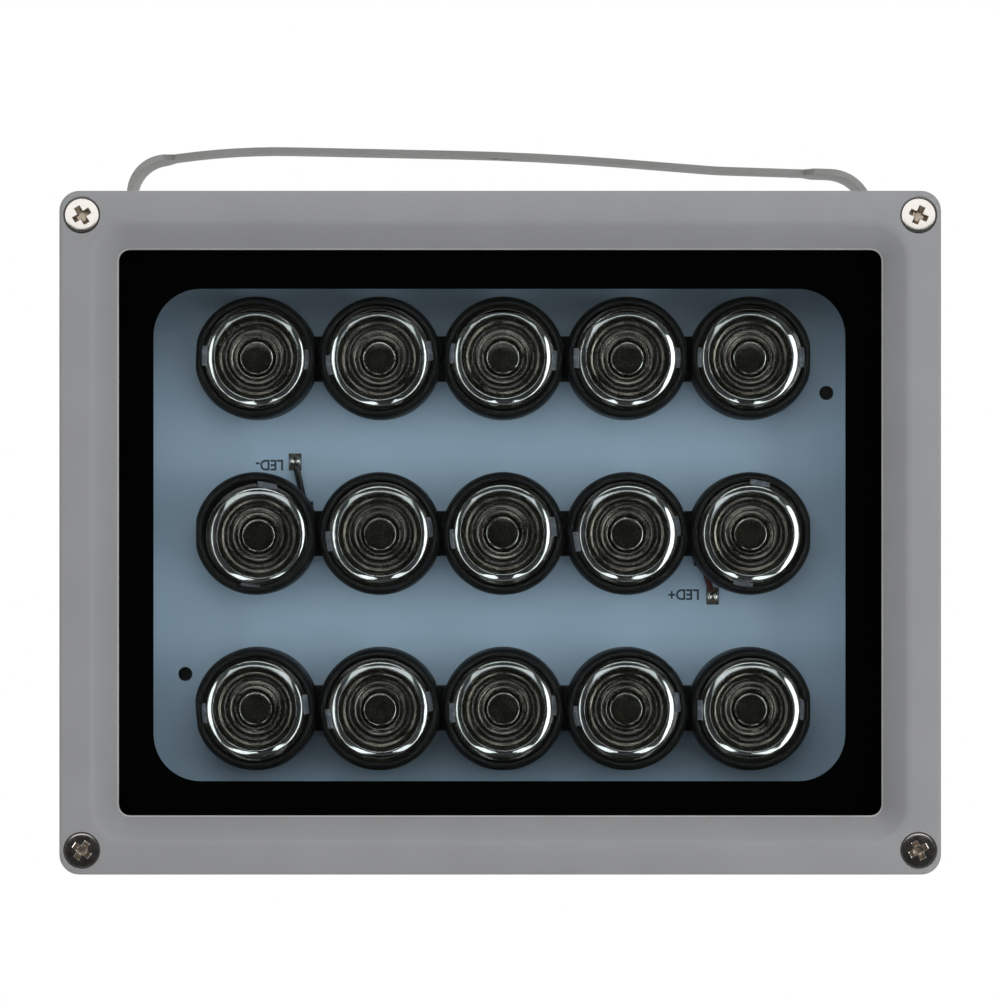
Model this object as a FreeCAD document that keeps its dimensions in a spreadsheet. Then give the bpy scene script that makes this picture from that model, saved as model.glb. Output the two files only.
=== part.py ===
import FreeCAD, Part
import math
import os
import Sketcher
from FreeCAD import Rotation, Vector

# Infrared illuminator: a flat lamp head that tilts between the two arms of a folded steel bracket.
# Millimetres. The origin is the bar's central fixing hole, in the middle of the strip, +Z up.
# The lamp faces -Y. Pieces of the head are drawn about the pivot axis and dropped by pivot_drop.

sizes = {
    # Bracket: rises are of the strip's upper face, insets are from the arms' outer faces
    "strip_thick": 1.2,
    "arm_width": 19.0,
    "arm_end": 10.0,
    "arm_tip_flat": 2.0,
    "left_corner_rise": -1.2,
    "crest_inset": 22.0,
    "crest_rise": 1.8,
    "knee_reach": 8.0,
    "knee_rise": 0.5,
    "dip_inset": 32.0,
    "dip_rise": -2.4,
    "right_corner_rise": -3.45,
    "left_bend": 8.0,
    "crest_bend": 150.0,
    "knee_bend": 600.0,
    "dip_bend": 80.0,
    "right_bend": 9.0,
    "neck_width": 10.0,
    "neck_left_inset": 9.5,
    "neck_right_inset": 14.1,
    "neck_shoulder": 2.0,
    "fixing_hole": 2.75,
    "fixing_lean": 2.1,
    # Tilt pivot
    "pivot_drop": 77.7,
    "pivot_setback": 42.0,
    "arm_gap": 0.3,
    "pivot_clear": 0.05,
    "bolt_radius": 3.0,
    "bolt_length": 13.5,
    "bolt_tip_clear": 1.25,
    "bolt_head_flats": 10.0,
    "bolt_head_thick": 4.0,
    "bolt_gap": 0.25,
    # Front frame
    "frame_width": 176.0,
    "frame_height": 136.5,
    "frame_corner": 4.0,
    "land_width": 6.5,
    "slope_width": 5.1,
    "opening_corner": 2.2,
    "dish_depth": 4.4,
    "lip_thick": 1.0,
    "screw_inset_across": 4.5,
    "screw_inset_up": 4.85,
    "frame_screw_radius": 2.0,
    "frame_screw_head": 3.5,
    "frame_screw_length": 13.6,
    "screw_clear": 0.2,
    "thread_clear": 0.05,
    # Glass in its channel gasket
    "glass_bite": 3.5,
    "glass_thick": 3.0,
    "glass_clip": 3.0,
    "glass_clear": 0.1,
    "gasket_web": 0.4,
    "gasket_leg": 0.8,
    "gasket_reach": 2.6,
    "print_thick": 0.1,
    "print_clear": 0.1,
    "border_across": 6.9,
    "border_up": 7.2,
    "window_corner": 9.5,
    "window_shift": -0.16,
    "window_lift": -0.46,
    # Rear housing
    "flange_inset": 1.0,
    "flange_corner": 3.0,
    "flange_thick": 4.0,
    "side_wall": 2.0,
    "end_wall": 3.0,
    "cavity_clip": 3.0,
    "body_clip": 4.0,
    "body_draft": 1.0,
    "floor_thick": 4.9,
    "fin_depth": 18.0,
    "fin_pitch": 7.2,
    "slot_width": 4.8,
    "slot_count": 19,
    "lug_height": 20.0,
    "lug_depth": 15.0,
    "lug_rise": 0.1,
    # Driver box on the back of the housing, its cover let into the rim
    "box_width": 98.0,
    "box_height": 66.0,
    "box_clip": 2.0,
    "box_depth": 31.0,
    "box_wall": 3.0,
    "box_rim": 1.4,
    "box_well": 26.0,
    "ledge_width": 3.0,
    "ledge_rise": 4.0,
    "cover_thick": 2.6,
    "cover_clear": 0.15,
    "cover_seal": 0.8,
    "cover_post": 6.0,
    "cover_post_inset": 5.0,
    "post_clear": 0.2,
    # LED board
    "board_width": 144.0,
    "board_height": 105.0,
    "board_thick": 1.6,
    "board_setback": 17.0,
    "board_shift": 0.6,
    "board_clear": 0.9,
    "board_end_clear": 6.0,
    "pad_thick": 0.5,
    "spare_hole": 1.45,
    "spare_right_edge": 6.1,
    "spare_right_rise": 28.5,
    "spare_left_edge": 7.2,
    "spare_left_rise": 28.8,
    # LEDs, holders and lenses
    "led_pitch": 25.0,
    "row_pitch": 35.5,
    "led_shift": 0.6,
    "led_rise": -0.16,
    "led_size": 6.0,
    "led_tall": 2.4,
    "holder_gap": 1.1,
    "holder_bulge": 0.5,
    "holder_tall": 11.8,
    "holder_well": 13.6,
    "lens_inset": 1.65,
    "lens_thick": 2.2,
    # Supply wires: each joint and hole is placed from the end LED of the middle row beside it
    "wire_flats": 1.3,
    "wire_clear": 0.15,
    "wire_slot": 3.0,
    "relief_width": 5.0,
    "relief_beyond": 1.9,
    "relief_tall": 2.6,
    "wire_start": 2.4,
    "minus_joint_out": 7.6,
    "minus_joint_clear": 2.06,
    "minus_hole_out": 9.8,
    "minus_hole_up": 5.06,
    "plus_joint_out": -7.3,
    "plus_joint_clear": 0.08,
    "plus_hole_out": -9.6,
    "plus_hole_up": -5.14,
    "solder_width": 2.8,
    "solder_length": 3.4,
    "solder_rise": 1.1,
    # Driver board
    "driver_clear": 0.3,
    "driver_thick": 1.6,
    "transformer_width": 24.0,
    "transformer_height": 20.0,
    "transformer_tall": 16.0,
    "transformer_x": -20.0,
    "transformer_z": 8.0,
    "capacitor_width": 18.0,
    "capacitor_height": 9.0,
    "capacitor_tall": 14.0,
    "capacitor_x": 16.0,
    "capacitor_z": 14.0,
    "terminal_width": 16.0,
    "terminal_height": 8.0,
    "terminal_tall": 10.0,
    "terminal_x": 0.0,
    "terminal_z": -14.0,
    # Cable gland under the driver box
    "gland_setback": 15.0,
    "gland_thread": 5.9,
    "gland_inside": 1.5,
    "gland_flats": 17.0,
    "gland_hex_thick": 5.0,
    "gland_bore": 4.0,
    "gland_room": 2.2,
    "cap_flats": 15.0,
    "cap_length": 9.0,
}

# Heights of the main faces along Y, from the pivot axis, as sheet formulas
face_y = "(-size.pivot_setback)"
dish_y = f"({face_y} + size.dish_depth)"
seat_y = f"({dish_y} + size.lip_thick)"
glass_y = f"({seat_y} + size.gasket_leg)"
glass_back_y = f"({glass_y} + size.glass_thick)"
flange_y = f"({glass_back_y} + size.gasket_leg)"
flange_back_y = f"({flange_y} + size.flange_thick)"
board_y = f"({flange_y} + size.board_setback)"
pad_y = f"({board_y} + size.board_thick)"
floor_y = f"({pad_y} + size.pad_thick)"
floor_back_y = f"({floor_y} + size.floor_thick)"
fin_y = f"({floor_back_y} + size.fin_depth)"
box_y = f"({floor_back_y} + size.box_depth)"
cover_y = f"({box_y} - size.cover_thick)"
seal_y = f"({cover_y} - size.cover_seal)"
driver_y = f"({box_y} - size.box_well)"
driver_back_y = f"({driver_y} + size.driver_thick)"
sump_y = f"({driver_y} - size.ledge_rise)"
gland_y = f"({box_y} - size.gland_setback)"

# Widths shared by pieces that fit each other
opening_wide = "(size.frame_width - 2 * (size.land_width + size.slope_width))"
opening_tall = "(size.frame_height - 2 * (size.land_width + size.slope_width))"
screws_across = "(size.frame_width - 2 * size.screw_inset_across)"
screws_up = "(size.frame_height - 2 * size.screw_inset_up)"
glass_wide = f"({opening_wide} + 2 * size.glass_bite)"
glass_tall = f"({opening_tall} + 2 * size.glass_bite)"
slot_wide = f"({glass_wide} + 2 * size.glass_clear)"
slot_tall = f"({glass_tall} + 2 * size.glass_clear)"
channel_wide = f"({slot_wide} + 2 * size.gasket_web)"
channel_tall = f"({slot_tall} + 2 * size.gasket_web)"
reach_wide = f"({glass_wide} - 2 * size.gasket_reach)"
reach_tall = f"({glass_tall} - 2 * size.gasket_reach)"
window_wide = f"({opening_wide} - 2 * size.border_across)"
window_tall = f"({opening_tall} - 2 * size.border_up)"
cavity_wide = "(size.board_width + 2 * size.board_clear)"
body_wide = f"({cavity_wide} + 2 * size.side_wall)"
cavity_tall = "(size.board_height + 2 * size.board_end_clear)"
body_tall = f"({cavity_tall} + 2 * size.end_wall)"
lug_face = f"({body_wide} / 2 + size.lug_rise)"
arm_inner = f"({lug_face} + size.arm_gap)"
arm_outer = f"({arm_inner} + size.strip_thick)"
bolt_seat_x = f"({arm_outer} + size.bolt_gap)"
lug_hole_depth = f"({lug_face} - {bolt_seat_x} + size.bolt_length + size.bolt_tip_clear)"
rim_wide = "(size.box_width - 2 * size.box_rim)"
rim_tall = "(size.box_height - 2 * size.box_rim)"
well_wide = "(size.box_width - 2 * size.box_wall)"
well_tall = "(size.box_height - 2 * size.box_wall)"
box_under = "(-size.box_height / 2)"
gland_space = "(size.gland_flats / 2 / cos(30) + size.gland_room)"
spare_right = "(size.board_shift + size.board_width / 2 - size.spare_right_edge)"
spare_left = "(size.board_shift - size.board_width / 2 + size.spare_left_edge)"
holder_flat = "((size.led_pitch - size.holder_gap) / 2)"
holder_radius = f"({holder_flat} + size.holder_bulge)"
joint_side = {"minus": "+", "plus": "-"}
end_led = {"minus": "(size.led_shift - 2 * size.led_pitch)", "plus": "(size.led_shift + 2 * size.led_pitch)"}

doc = FreeCAD.newDocument("infrared_illuminator")
sheet = doc.addObject("Spreadsheet::Sheet", "size")
for row, (name, value) in enumerate(sizes.items(), 1):
    sheet.set(f"A{row}", name)
    sheet.set(f"B{row}", str(value))
    sheet.setAlias(f"B{row}", name)
doc.recompute()

cuts = []
pieces = []


def number(formula):
    return float(sheet.evalExpression(formula))


def new_body(name, on_head=True):
    body = doc.addObject("PartDesign::Body", name)
    body.Label = name
    if on_head:
        body.setExpression("Placement.Base.z", "-size.pivot_drop")
    pieces.append(body)
    return body


def origin_plane(body, role):
    return next(plane for plane in body.Origin.OriginFeatures if plane.Role == role)


def new_sketch(body, role, name, offset="0"):
    sketch = body.newObject("Sketcher::SketchObject", name)
    sketch.AttachmentSupport = [(origin_plane(body, role), "")]
    sketch.MapMode = "FlatFace"
    sketch.setExpression("AttachmentOffset.Base.z", offset)
    return sketch


def front_sketch(body, name, y):
    """A sketch seen from behind the lamp's face, X across and Z up, at depth y."""
    return new_sketch(body, "XZ_Plane", name, f"-({y})")


def hold(sketch, kind, ends, formula):
    index = sketch.addConstraint(Sketcher.Constraint(kind, *ends, number(formula)))
    sketch.setExpression(f"Constraints[{index}]", formula)


def hold_point(sketch, geometry, end, x, y):
    for kind, axis, formula in (("DistanceX", -2, x), ("DistanceY", -1, y)):
        if formula == "0":
            sketch.addConstraint(Sketcher.Constraint("PointOnObject", geometry, end, axis))
        else:
            hold(sketch, kind, (-1, 1, geometry, end), formula)


def draw_polygon(sketch, corners):
    spots = [Vector(number(x), number(y), 0) for x, y in corners]
    first = sketch.GeometryCount
    count = len(spots)
    for i in range(count):
        sketch.addGeometry(Part.LineSegment(spots[i], spots[(i + 1) % count]), False)
    for i, (x, y) in enumerate(corners):
        sketch.addConstraint(Sketcher.Constraint("Coincident", first + i, 2, first + (i + 1) % count, 1))
        hold_point(sketch, first + i, 1, x, y)


def draw_box(sketch, wide, tall, x="0", y="0"):
    left, right = f"{x} - ({wide}) / 2", f"{x} + ({wide}) / 2"
    low, high = f"{y} - ({tall}) / 2", f"{y} + ({tall}) / 2"
    draw_polygon(sketch, [(left, low), (right, low), (right, high), (left, high)])


def draw_clipped_box(sketch, wide, tall, clip):
    """A rectangle about the origin with its corners cut off at 45 degrees."""
    half_w, half_t = f"({wide}) / 2", f"({tall}) / 2"
    in_w, in_t = f"({half_w} - {clip})", f"({half_t} - {clip})"
    draw_polygon(sketch, [
        (half_w, f"-{in_t}"), (half_w, in_t), (in_w, half_t), (f"-{in_w}", half_t),
        (f"-({half_w})", in_t), (f"-({half_w})", f"-{in_t}"), (f"-{in_w}", f"-({half_t})"),
        (in_w, f"-({half_t})"),
    ])


def draw_circle(sketch, radius, x="0", y="0"):
    centre = Vector(number(x), number(y), 0)
    circle = sketch.addGeometry(Part.Circle(centre, Vector(0, 0, 1), number(radius)), False)
    hold(sketch, "Radius", (circle,), radius)
    hold_point(sketch, circle, 3, x, y)


def draw_hexagon(sketch, flats, x="0", y="0"):
    side = f"({flats} / 2 * tan(30))"
    corner = f"({flats} / 2 / cos(30))"
    draw_polygon(sketch, [
        (f"{x} + {corner}", y), (f"{x} + {side}", f"{y} + {flats} / 2"),
        (f"{x} - {side}", f"{y} + {flats} / 2"), (f"{x} - {corner}", y),
        (f"{x} - {side}", f"{y} - {flats} / 2"), (f"{x} + {side}", f"{y} - {flats} / 2"),
    ])


def draw_rounded_box(sketch, wide, tall, radius, x="0", y="0"):
    half_w, half_t, r = number(wide) / 2, number(tall) / 2, number(radius)
    middle = Vector(number(x), number(y), 0)
    first = sketch.GeometryCount
    for i, (sx, sy) in enumerate(((1, 1), (-1, 1), (-1, -1), (1, -1))):
        centre = middle + Vector(sx * (half_w - r), sy * (half_t - r), 0)
        circle = Part.Circle(centre, Vector(0, 0, 1), r)
        arc = Part.ArcOfCircle(circle, math.radians(90 * i), math.radians(90 * i + 90))
        sketch.addGeometry(arc, False)
    arcs = [first + i for i in range(4)]
    ends = [(sketch.getPoint(arcs[i], 2), sketch.getPoint(arcs[(i + 1) % 4], 1)) for i in range(4)]
    lines = [sketch.addGeometry(Part.LineSegment(*pair), False) for pair in ends]
    for i in range(4):
        sketch.addConstraint(Sketcher.Constraint("Tangent", arcs[i], 2, lines[i], 1))
        sketch.addConstraint(Sketcher.Constraint("Tangent", lines[i], 2, arcs[(i + 1) % 4], 1))
        sketch.addConstraint(Sketcher.Constraint("Vertical" if i % 2 else "Horizontal", lines[i]))
        if i:
            sketch.addConstraint(Sketcher.Constraint("Equal", arcs[0], arcs[i]))
    hold(sketch, "Radius", (arcs[0],), radius)
    hold(sketch, "DistanceX", (lines[1], 1, lines[3], 1), wide)
    hold(sketch, "DistanceY", (lines[2], 1, lines[0], 1), tall)
    hold(sketch, "DistanceX", (-1, 1, lines[3], 1), f"{x} + ({wide}) / 2")
    hold(sketch, "DistanceY", (-1, 1, lines[0], 1), f"{y} + ({tall}) / 2")


def add_feature(body, kind, name, sketch, length=None, reverse=False, both_ways=False):
    feature = body.newObject(f"PartDesign::{kind}", name)
    feature.Profile = (sketch, [""])
    feature.Reversed = reverse
    if length:
        feature.setExpression("Length", length)
    elif kind == "Pocket":
        feature.Type = "ThroughAll"
    if both_ways:
        feature.SideType = "Symmetric"
    if kind == "Pocket":
        cuts.append(feature)
    sketch.Visibility = False
    return feature


def pad_back(body, name, sketch, length):
    """A pad from a front sketch towards the back of the lamp."""
    return add_feature(body, "Pad", name, sketch, length, reverse=True)


def pocket_back(body, name, sketch, length=None):
    return add_feature(body, "Pocket", name, sketch, length)


def pocket_front(body, name, sketch, length=None):
    return add_feature(body, "Pocket", name, sketch, length, reverse=True)


def turn(body, name, sketch, axis):
    feature = body.newObject("PartDesign::Revolution", name)
    feature.Profile = (sketch, [""])
    feature.ReferenceAxis = (sketch, [axis])
    return feature


def grid(body, name, features, sketch, across, up, columns=2, rows=2):
    whole = body.newObject("PartDesign::MultiTransform", name)
    whole.Originals = features
    steps = []
    for axis, length, count in (("H_Axis", across, columns), ("V_Axis", up, rows)):
        step = body.newObject("PartDesign::LinearPattern", f"{name}_{axis[0]}")
        step.Direction = (sketch, [axis])
        step.setExpression("Length", length)
        step.Occurrences = count
        steps.append(step)
    whole.Transformations = steps
    body.Tip = whole
    return whole


def mirror(body, name, features):
    feature = body.newObject("PartDesign::Mirrored", name)
    feature.Originals = features
    feature.MirrorPlane = (origin_plane(body, "YZ_Plane"), [""])
    body.Tip = feature
    return feature


def edges_through(shape, spots, near=0.01):
    """Names of the edges that pass through any of the spots."""
    names = []
    for i, edge in enumerate(shape.Edges, 1):
        if any(edge.distToShape(Part.Vertex(spot))[0] < near for spot in spots):
            names.append(f"Edge{i}")
    return names


def round_edges(body, name, base, edges, radius):
    feature = body.newObject("PartDesign::Fillet", name)
    feature.Base = (base, edges)
    feature.setExpression("Radius", radius)
    doc.recompute()
    return feature


def draw_folded_strip(sketch, corners, bends, thick):
    """The section of a folded strip: its outer face turns at the corners with the bends' radii."""
    spots = [Vector(number(x), number(z), 0) for x, z in corners]
    count = len(spots) - 1
    ways = [(spots[i + 1] - spots[i]).normalize() for i in range(count)]
    insides = [Vector(way.y, -way.x, 0) for way in ways]
    turns = [ways[i].cross(ways[i + 1]).z for i in range(count - 1)]
    for i in range(count):
        sketch.addGeometry(Part.LineSegment(spots[i], spots[i + 1]), True)
        hold_point(sketch, i, 1, *corners[i])
    hold_point(sketch, count - 1, 2, *corners[count])
    for i in range(count - 1):
        sketch.addConstraint(Sketcher.Constraint("Coincident", i, 2, i + 1, 1))
    faces = []
    for depth in (0, number(thick)):
        radii = [number(bend) + (depth if turns[i] > 0 else -depth) for i, bend in enumerate(bends)]
        shifts = [radius_shift(turns[i], ways[i].dot(ways[i + 1]), number(bend))
                  for i, bend in enumerate(bends)]
        lines, arcs = [], []
        for i in range(count):
            start = spots[i] + (ways[i] * shifts[i - 1] if i else Vector()) + insides[i] * depth
            stop = spots[i + 1] - (ways[i] * shifts[i] if i < count - 1 else Vector()) + insides[i] * depth
            lines.append(sketch.addGeometry(Part.LineSegment(start, stop), False))
        for i, radius in enumerate(radii):
            meets = sketch.getPoint(lines[i], 2)
            leaves = sketch.getPoint(lines[i + 1], 1)
            inward = 1 if turns[i] < 0 else -1
            centre = meets + insides[i] * inward * radius
            middle = centre + ((meets + leaves) * 0.5 - centre).normalize() * radius
            arcs.append(sketch.addGeometry(Part.Arc(meets, middle, leaves), False))
        for i, arc in enumerate(arcs):
            first, second = (2, 1) if turns[i] < 0 else (1, 2)
            sketch.addConstraint(Sketcher.Constraint("Tangent", lines[i], 2, arc, first))
            sketch.addConstraint(Sketcher.Constraint("Tangent", arc, second, lines[i + 1], 1))
            sign = "+" if turns[i] > 0 else "-"
            hold(sketch, "Radius", (arc,), f"{bends[i]} {sign} {thick}" if depth else bends[i])
        faces.append(lines)
    outer, inner = faces
    for i in range(count):
        sketch.addConstraint(Sketcher.Constraint("Parallel", i, inner[i]))
        hold(sketch, "Distance", (inner[i], 1, i), thick)
        if 0 < i:
            sketch.addConstraint(Sketcher.Constraint("PointOnObject", outer[i], 1, i))
        if i < count - 1:
            sketch.addConstraint(Sketcher.Constraint("PointOnObject", outer[i], 2, i))
    for end, corner, whole in ((0, 0, 1), (count - 1, count - 1, 2)):
        sketch.addConstraint(Sketcher.Constraint("Coincident", outer[end], whole, corner, whole))
        tip = [sketch.getPoint(outer[end], whole), sketch.getPoint(inner[end], whole)]
        closing = sketch.addGeometry(Part.LineSegment(*tip), False)
        sketch.addConstraint(Sketcher.Constraint("Coincident", closing, 1, outer[end], whole))
        sketch.addConstraint(Sketcher.Constraint("Coincident", closing, 2, inner[end], whole))
        sketch.addConstraint(Sketcher.Constraint("Horizontal", closing))


def radius_shift(turn_sine, turn_cosine, radius):
    """How far along each line from their corner an arc of this radius touches."""
    return radius * abs(turn_sine) / (1 + turn_cosine)


def make_bracket():
    body = new_body("bracket", on_head=False)
    arm_foot = "(-size.pivot_drop - size.arm_end)"
    corners = [
        (f"-{arm_outer}", arm_foot), (f"-{arm_outer}", "size.left_corner_rise"),
        (f"-({arm_outer} - size.crest_inset)", "size.crest_rise"), ("size.knee_reach", "size.knee_rise"),
        (f"({arm_outer} - size.dip_inset)", "size.dip_rise"), (arm_outer, "size.right_corner_rise"),
        (arm_outer, arm_foot),
    ]
    bends = ["size.left_bend", "size.crest_bend", "size.knee_bend", "size.dip_bend", "size.right_bend"]
    sketch = new_sketch(body, "XZ_Plane", "bracket_strip")
    draw_folded_strip(sketch, corners, bends, "size.strip_thick")
    strip = add_feature(body, "Pad", "bracket_fold", sketch, "size.arm_width", both_ways=True)
    doc.recompute()
    half = number("size.arm_width") / 2
    tip = number(arm_foot)
    middle = (number(arm_inner) + number(arm_outer)) / 2
    tips = [Vector(sx * middle, sy * half, tip) for sx in (-1, 1) for sy in (-1, 1)]
    round_edges(body, "arm_ends", strip, edges_through(strip.Shape, tips),
                "(size.arm_width - size.arm_tip_flat) / 2")
    neck = new_sketch(body, "XY_Plane", "neck_outline")
    for side in ("-", ""):
        far = f"{side}size.arm_width"
        full = f"{side}size.arm_width / 2"
        thin = f"{side}size.neck_width / 2"
        left, right = f"-({arm_outer} - size.neck_left_inset)", f"({arm_outer} - size.neck_right_inset)"
        draw_polygon(neck, [
            (f"{left} - size.neck_shoulder", far), (f"{left} - size.neck_shoulder", full),
            (left, thin), (right, thin),
            (f"{right} + size.neck_shoulder", full), (f"{right} + size.neck_shoulder", far),
        ])
    add_feature(body, "Pocket", "neck", neck, both_ways=True)
    pivots = new_sketch(body, "YZ_Plane", "pivot_hole_circle")
    draw_circle(pivots, "size.bolt_radius + size.pivot_clear", y="-size.pivot_drop")
    add_feature(body, "Pocket", "pivot_holes", pivots, both_ways=True)
    circle = new_sketch(body, "XY_Plane", "fixing_hole_circle")
    circle.AttachmentOffset.Rotation = Rotation(Vector(0, 1, 0), 1)
    circle.setExpression("AttachmentOffset.Rotation.Angle", "size.fixing_lean")
    draw_circle(circle, "size.fixing_hole")
    add_feature(body, "Pocket", "fixing_hole", circle, both_ways=True)


def make_pivot_bolts():
    body = new_body("pivot_bolts")
    circle = new_sketch(body, "YZ_Plane", "bolt_shank_circle", bolt_seat_x)
    draw_circle(circle, "size.bolt_radius")
    shank = add_feature(body, "Pad", "bolt_shank", circle, "size.bolt_length", reverse=True)
    hexagon = new_sketch(body, "YZ_Plane", "bolt_head_outline", bolt_seat_x)
    draw_hexagon(hexagon, "size.bolt_head_flats")
    head = add_feature(body, "Pad", "bolt_head", hexagon, "size.bolt_head_thick")
    mirror(body, "both_bolts", [shank, head])


def make_front_frame():
    body = new_body("front_frame")
    outline = front_sketch(body, "frame_outline", face_y)
    draw_rounded_box(outline, "size.frame_width", "size.frame_height", "size.frame_corner")
    pad_back(body, "frame_slab", outline, f"{flange_y} - {face_y}")
    lip = front_sketch(body, "dish_floor_outline", dish_y)
    draw_rounded_box(lip, opening_wide, opening_tall, "size.opening_corner")
    dish = pocket_front(body, "dish", lip, "size.dish_depth")
    dish.TaperAngle = 10
    dish.setExpression("TaperAngle", "atan(size.slope_width / size.dish_depth)")
    opening = front_sketch(body, "opening_outline", face_y)
    draw_rounded_box(opening, opening_wide, opening_tall, "size.opening_corner")
    pocket_back(body, "opening", opening)
    rebate = front_sketch(body, "rebate_outline", flange_y)
    draw_clipped_box(rebate, channel_wide, channel_tall, "size.glass_clip")
    pocket_front(body, "glass_rebate", rebate, f"{flange_y} - {seat_y}")
    holes = front_sketch(body, "frame_hole_circles", face_y)
    corner_circles(holes, "size.frame_screw_radius + size.screw_clear")
    drilled = pocket_back(body, "frame_holes", holes)
    doc.recompute()
    half_w, half_t = number(screws_across) / 2, number(screws_up) / 2
    radius = number("size.frame_screw_radius + size.screw_clear")
    spots = [Vector(sx * half_w + radius, number(face_y), sz * half_t)
             for sx in (-1, 1) for sz in (-1, 1)]
    sink = body.newObject("PartDesign::Chamfer", "countersinks")
    sink.Base = (drilled, edges_through(drilled.Shape, spots))
    sink.setExpression("Size", "size.frame_screw_head - size.frame_screw_radius")


def corner_circles(sketch, radius):
    for sx in ("-", ""):
        for sy in ("-", ""):
            draw_circle(sketch, radius, f"{sx}{screws_across} / 2", f"{sy}{screws_up} / 2")


def make_frame_screws():
    body = new_body("frame_screws")
    profile = new_sketch(body, "XY_Plane", "frame_screw_profile", f"-{screws_up} / 2")
    x, radius, head = f"(-{screws_across} / 2)", "size.frame_screw_radius", "size.frame_screw_head"
    tip = f"{face_y} + size.frame_screw_length"
    draw_polygon(profile, [
        (x, face_y), (f"{x} + {head}", face_y), (f"{x} + {radius}", f"{face_y} + ({head} - {radius})"),
        (f"{x} + {radius}", tip), (x, tip),
    ])
    one = turn(body, "frame_screw", profile, "Edge5")
    plan = front_sketch(body, "frame_screw_plan", "0")
    draw_circle(plan, radius)
    grid(body, "four_frame_screws", [one], plan, screws_across, screws_up)


def make_glass():
    pane = new_body("glass_pane")
    outline = front_sketch(pane, "glass_outline", glass_y)
    draw_clipped_box(outline, glass_wide, glass_tall, "size.glass_clip")
    pad_back(pane, "glass_sheet", outline, "size.glass_thick")
    border = new_body("glass_border_print")
    ring = front_sketch(border, "print_outline", glass_back_y)
    draw_box(ring, f"({reach_wide} - 2 * size.print_clear)", f"({reach_tall} - 2 * size.print_clear)")
    draw_rounded_box(ring, window_wide, window_tall, "size.window_corner",
                     "size.window_shift", "size.window_lift")
    pad_back(border, "print_layer", ring, "size.print_thick")
    gasket = new_body("glass_gasket")
    for name, y, depth in (("front_leg", seat_y, "size.gasket_leg"),
                           ("web", glass_y, "size.glass_thick"),
                           ("rear_leg", glass_back_y, "size.gasket_leg")):
        ring = front_sketch(gasket, f"{name}_outline", y)
        draw_clipped_box(ring, channel_wide, channel_tall, "size.glass_clip")
        if name == "web":
            draw_clipped_box(ring, slot_wide, slot_tall, "size.glass_clip")
        else:
            draw_box(ring, reach_wide, reach_tall)
        pad_back(gasket, name, ring, depth)


def make_rear_housing():
    body = new_body("rear_housing")
    flange = front_sketch(body, "flange_outline", flange_y)
    draw_rounded_box(flange, "(size.frame_width - 2 * size.flange_inset)",
                     "(size.frame_height - 2 * size.flange_inset)", "size.flange_corner")
    pad_back(body, "flange", flange, "size.flange_thick")
    block = front_sketch(body, "body_outline", flange_back_y)
    draw_clipped_box(block, body_wide, body_tall, "size.body_clip")
    shell = pad_back(body, "body_block", block, f"{fin_y} - {flange_back_y}")
    shell.setExpression("TaperAngle", "-size.body_draft")
    slot = front_sketch(body, "slot_outline", fin_y)
    draw_box(slot, "size.slot_width", f"({body_tall} + 2 * size.fin_depth)",
             "(size.slot_count - 1) / 2 * -size.fin_pitch")
    first_slot = pocket_front(body, "fin_slot", slot, "size.fin_depth")
    slots = body.newObject("PartDesign::LinearPattern", "fin_slots")
    slots.Originals = [first_slot]
    slots.Direction = (slot, ["H_Axis"])
    slots.setExpression("Length", "(size.slot_count - 1) * size.fin_pitch")
    slots.setExpression("Occurrences", "size.slot_count")
    body.Tip = slots
    box = front_sketch(body, "box_outline", floor_y)
    draw_clipped_box(box, "size.box_width", "size.box_height", "size.box_clip")
    pad_back(body, "driver_box", box, f"{box_y} - {floor_y}")
    space = front_sketch(body, "gland_space_outline", fin_y)
    low = f"(-{body_tall} / 2 - size.fin_depth)"
    draw_polygon(space, [(f"-{gland_space}", low), (gland_space, low),
                         (gland_space, box_under), (f"-{gland_space}", box_under)])
    pocket_front(body, "gland_space", space, "size.fin_depth")
    lugs = front_sketch(body, "lug_outlines", floor_y)
    for side in ("-", ""):
        draw_box(lugs, "size.lug_depth", "size.lug_height", f"{side}({lug_face} - size.lug_depth / 2)")
    pad_back(body, "lugs", lugs, f"{fin_y} - {floor_y}")
    threaded = new_sketch(body, "YZ_Plane", "pivot_thread_circle", lug_face)
    draw_circle(threaded, "size.bolt_radius + size.pivot_clear")
    thread = add_feature(body, "Pocket", "pivot_thread", threaded, lug_hole_depth)
    mirror(body, "both_threads", [thread])
    cavity = front_sketch(body, "cavity_outline", flange_y)
    draw_clipped_box(cavity, cavity_wide, cavity_tall, "size.cavity_clip")
    pocket_back(body, "cavity", cavity, f"{floor_y} - {flange_y}")
    rim = front_sketch(body, "cover_rebate_outline", box_y)
    draw_box(rim, rim_wide, rim_tall)
    pocket_front(body, "cover_rebate", rim, f"{box_y} - {seal_y}")
    well = front_sketch(body, "well_outline", box_y)
    draw_box(well, well_wide, well_tall)
    pocket_front(body, "well", well, "size.box_well")
    sump = front_sketch(body, "sump_outline", driver_y)
    draw_box(sump, f"({well_wide} - 2 * size.ledge_width)", f"({well_tall} - 2 * size.ledge_width)")
    pocket_front(body, "sump", sump, "size.ledge_rise")
    slots = front_sketch(body, "wire_slot_outlines", floor_y)
    draw_wire_slots(slots)
    pocket_back(body, "wire_slots", slots, f"{driver_y} - {floor_y}")
    taps = front_sketch(body, "frame_thread_circles", flange_y)
    corner_circles(taps, "size.frame_screw_radius + size.thread_clear")
    pocket_back(body, "frame_threads", taps, "size.flange_thick")
    entry = new_sketch(body, "XY_Plane", "gland_hole_circle", box_under)
    draw_circle(entry, "size.gland_thread + size.thread_clear", y=gland_y)
    add_feature(body, "Pocket", "gland_hole", entry, "size.box_wall", reverse=True)


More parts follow.
